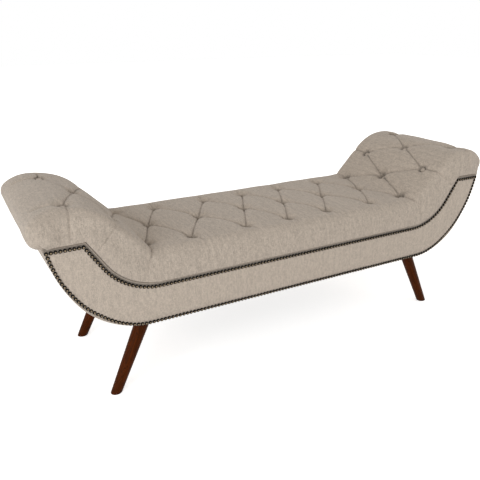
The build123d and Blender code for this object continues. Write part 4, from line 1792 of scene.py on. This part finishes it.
class BENCH_OT_stage(bpy.types.Operator):
    """Set the floor, the lamps, the room light and the camera."""

    bl_idname = "bench.stage"
    bl_label = "Stage"

    def execute(self, context):
        settings = context.scene.bench_stage
        add_floor(settings)
        add_world(settings)
        add_lamp("key_lamp", KEY_PLACE, KEY_SIZE, settings.key_strength)
        add_lamp("fill_lamp", FILL_PLACE, FILL_SIZE, settings.fill_strength)
        add_camera(settings)
        context.scene.view_settings.view_transform = "Standard"
        return {"FINISHED"}


# The lamps' places and sizes, and the light of the lamps, the room and the floor.
KEY_PLACE = (-3.4, -2.4, 1.65)
KEY_SIZE = 2.2
FILL_PLACE = (3.0, -2.4, 2.0)
FILL_SIZE = 2.4
LAMP_AIM = (0, 0, 0.35)
LAMP_COLOUR = (0.965, 0.98, 1.0)
ROOM_COLOUR = (1.0, 0.950, 0.895, 1.0)
WHITE = (1.0, 1.0, 1.0, 1.0)
FLOOR_GREYS = (0.965, 0.975)
LIFT_START = 0.9
LIFT_END = 2.4
LIFT_RISE = 0.35


def add_floor(settings):
    """Pale floor that shows white to the camera and keeps the bench's shadow."""
    half = settings.floor_half
    corners = [(-half, -half, 0), (half, -half, 0), (half, half, 0), (-half, half, 0)]
    floor = new_piece("floor", corners, [(0, 1, 2, 3)])
    r = Recipe("studio_floor")
    place = r.place()
    grain = r.noise(place, 3.0, 3.0)
    greys = [linear((grey, grey, grey)) for grey in FLOOR_GREYS]
    tone = r.mix(r.spread(grain, 0.3, 0.7), *greys)
    rays = r.add("ShaderNodeLightPath").outputs
    seen = r.math("MAXIMUM", rays["Is Camera Ray"], rays["Is Glossy Ray"])
    seen = r.math("MAXIMUM", seen, rays["Is Transmission Ray"])
    away = r.add("ShaderNodeVectorMath", {0: place}, operation="LENGTH").outputs["Value"]
    white = settings.floor_white
    lift = r.spread(away, LIFT_START, LIFT_END, white, white + LIFT_RISE)
    r.finish(
        Base_Color=tone,
        Roughness=r.spread(grain, 0.3, 0.7, 0.9, 0.95),
        Emission_Color=WHITE,
        Emission_Strength=r.math("MULTIPLY", seen, lift),
    )
    floor.data.materials.append(r.material)


def add_world(settings):
    """Even room light, and plain white behind the bench."""
    world = bpy.data.worlds.new("studio_room")
    bpy.context.scene.world = world
    world.use_nodes = True
    nodes, links = world.node_tree.nodes, world.node_tree.links
    room = nodes["Background"]
    room.inputs["Color"].default_value = ROOM_COLOUR
    room.inputs["Strength"].default_value = settings.sky_strength
    backdrop = nodes.new("ShaderNodeBackground")
    backdrop.inputs["Color"].default_value = WHITE
    backdrop.inputs["Strength"].default_value = 1.0
    rays = nodes.new("ShaderNodeLightPath")
    seen = rays.outputs["Is Camera Ray"]
    for kind in ("Is Glossy Ray", "Is Transmission Ray"):
        either = nodes.new("ShaderNodeMath")
        either.operation = "MAXIMUM"
        links.new(seen, either.inputs[0])
        links.new(rays.outputs[kind], either.inputs[1])
        seen = either.outputs[0]
    choice = nodes.new("ShaderNodeMixShader")
    links.new(seen, choice.inputs[0])
    links.new(room.outputs[0], choice.inputs[1])
    links.new(backdrop.outputs[0], choice.inputs[2])
    links.new(choice.outputs[0], nodes["World Output"].inputs["Surface"])


def add_lamp(name, place, size, power):
    """Square soft lamp aimed at the bench's seat."""
    light = bpy.data.lights.new(name, "AREA")
    light.size = size
    light.energy = power
    light.color = LAMP_COLOUR
    lamp = bpy.data.objects.new(name, light)
    lamp.location = place
    aim = Vector(LAMP_AIM) - Vector(place)
    lamp.rotation_euler = aim.to_track_quat("-Z", "Y").to_euler()
    bpy.context.scene.collection.objects.link(lamp)


def add_camera(settings):
    """Camera at the bench's left front corner, looking down along it."""
    data = bpy.data.cameras.new("bench_camera")
    data.sensor_width = 36.0
    data.lens = settings.camera_lens
    camera = bpy.data.objects.new("bench_camera", data)
    camera.location = settings.camera_place
    camera.rotation_mode = "QUATERNION"
    camera.rotation_quaternion = Vector(settings.camera_aim).to_track_quat("-Z", "Y")
    bpy.context.scene.collection.objects.link(camera)
    bpy.context.scene.camera = camera


OPERATORS = (
    BENCH_OT_cover,
    BENCH_OT_foam,
    BENCH_OT_buttons,
    BENCH_OT_fascias,
    BENCH_OT_nails,
    BENCH_OT_belly,
    BENCH_OT_legs,
    BENCH_OT_frame,
    BENCH_OT_stage,
)


class BENCH_PT_panel(bpy.types.Panel):
    """Buttons and settings for the bench."""

    bl_idname = "BENCH_PT_panel"
    bl_label = "Upholstered Bench"
    bl_space_type = "VIEW_3D"
    bl_region_type = "UI"
    bl_category = "Bench"

    def draw(self, context):
        for operator in OPERATORS:
            self.layout.operator(operator.bl_idname)
        for name in GROUPS:
            group = getattr(context.scene, name)
            box = self.layout.box()
            for key in group.bl_rna.properties.keys():
                if key not in ("rna_type", "name"):
                    box.prop(group, key)


GROUPS = {
    "bench_padding": BenchPadding,
    "bench_finish": BenchFinish,
    "bench_stage": BenchStage,
}
CLASSES = (*GROUPS.values(), *OPERATORS, BENCH_PT_panel)


def register():
    """Adds the classes and their settings."""
    for each in CLASSES:
        bpy.utils.register_class(each)
    for name, group in GROUPS.items():
        setattr(bpy.types.Scene, name, PointerProperty(type=group))


def unregister():
    """Takes the classes and their settings away."""
    for name in GROUPS:
        delattr(bpy.types.Scene, name)
    for each in reversed(CLASSES):
        bpy.utils.unregister_class(each)


def main():
    """Builds every piece and the stage."""
    register()
    bpy.ops.bench.cover()
    bpy.ops.bench.foam()
    bpy.ops.bench.buttons()
    bpy.ops.bench.fascias()
    bpy.ops.bench.nails()
    bpy.ops.bench.belly()
    bpy.ops.bench.legs()
    bpy.ops.bench.frame()
    bpy.ops.bench.stage()


if __name__ == "__main__":
    main()
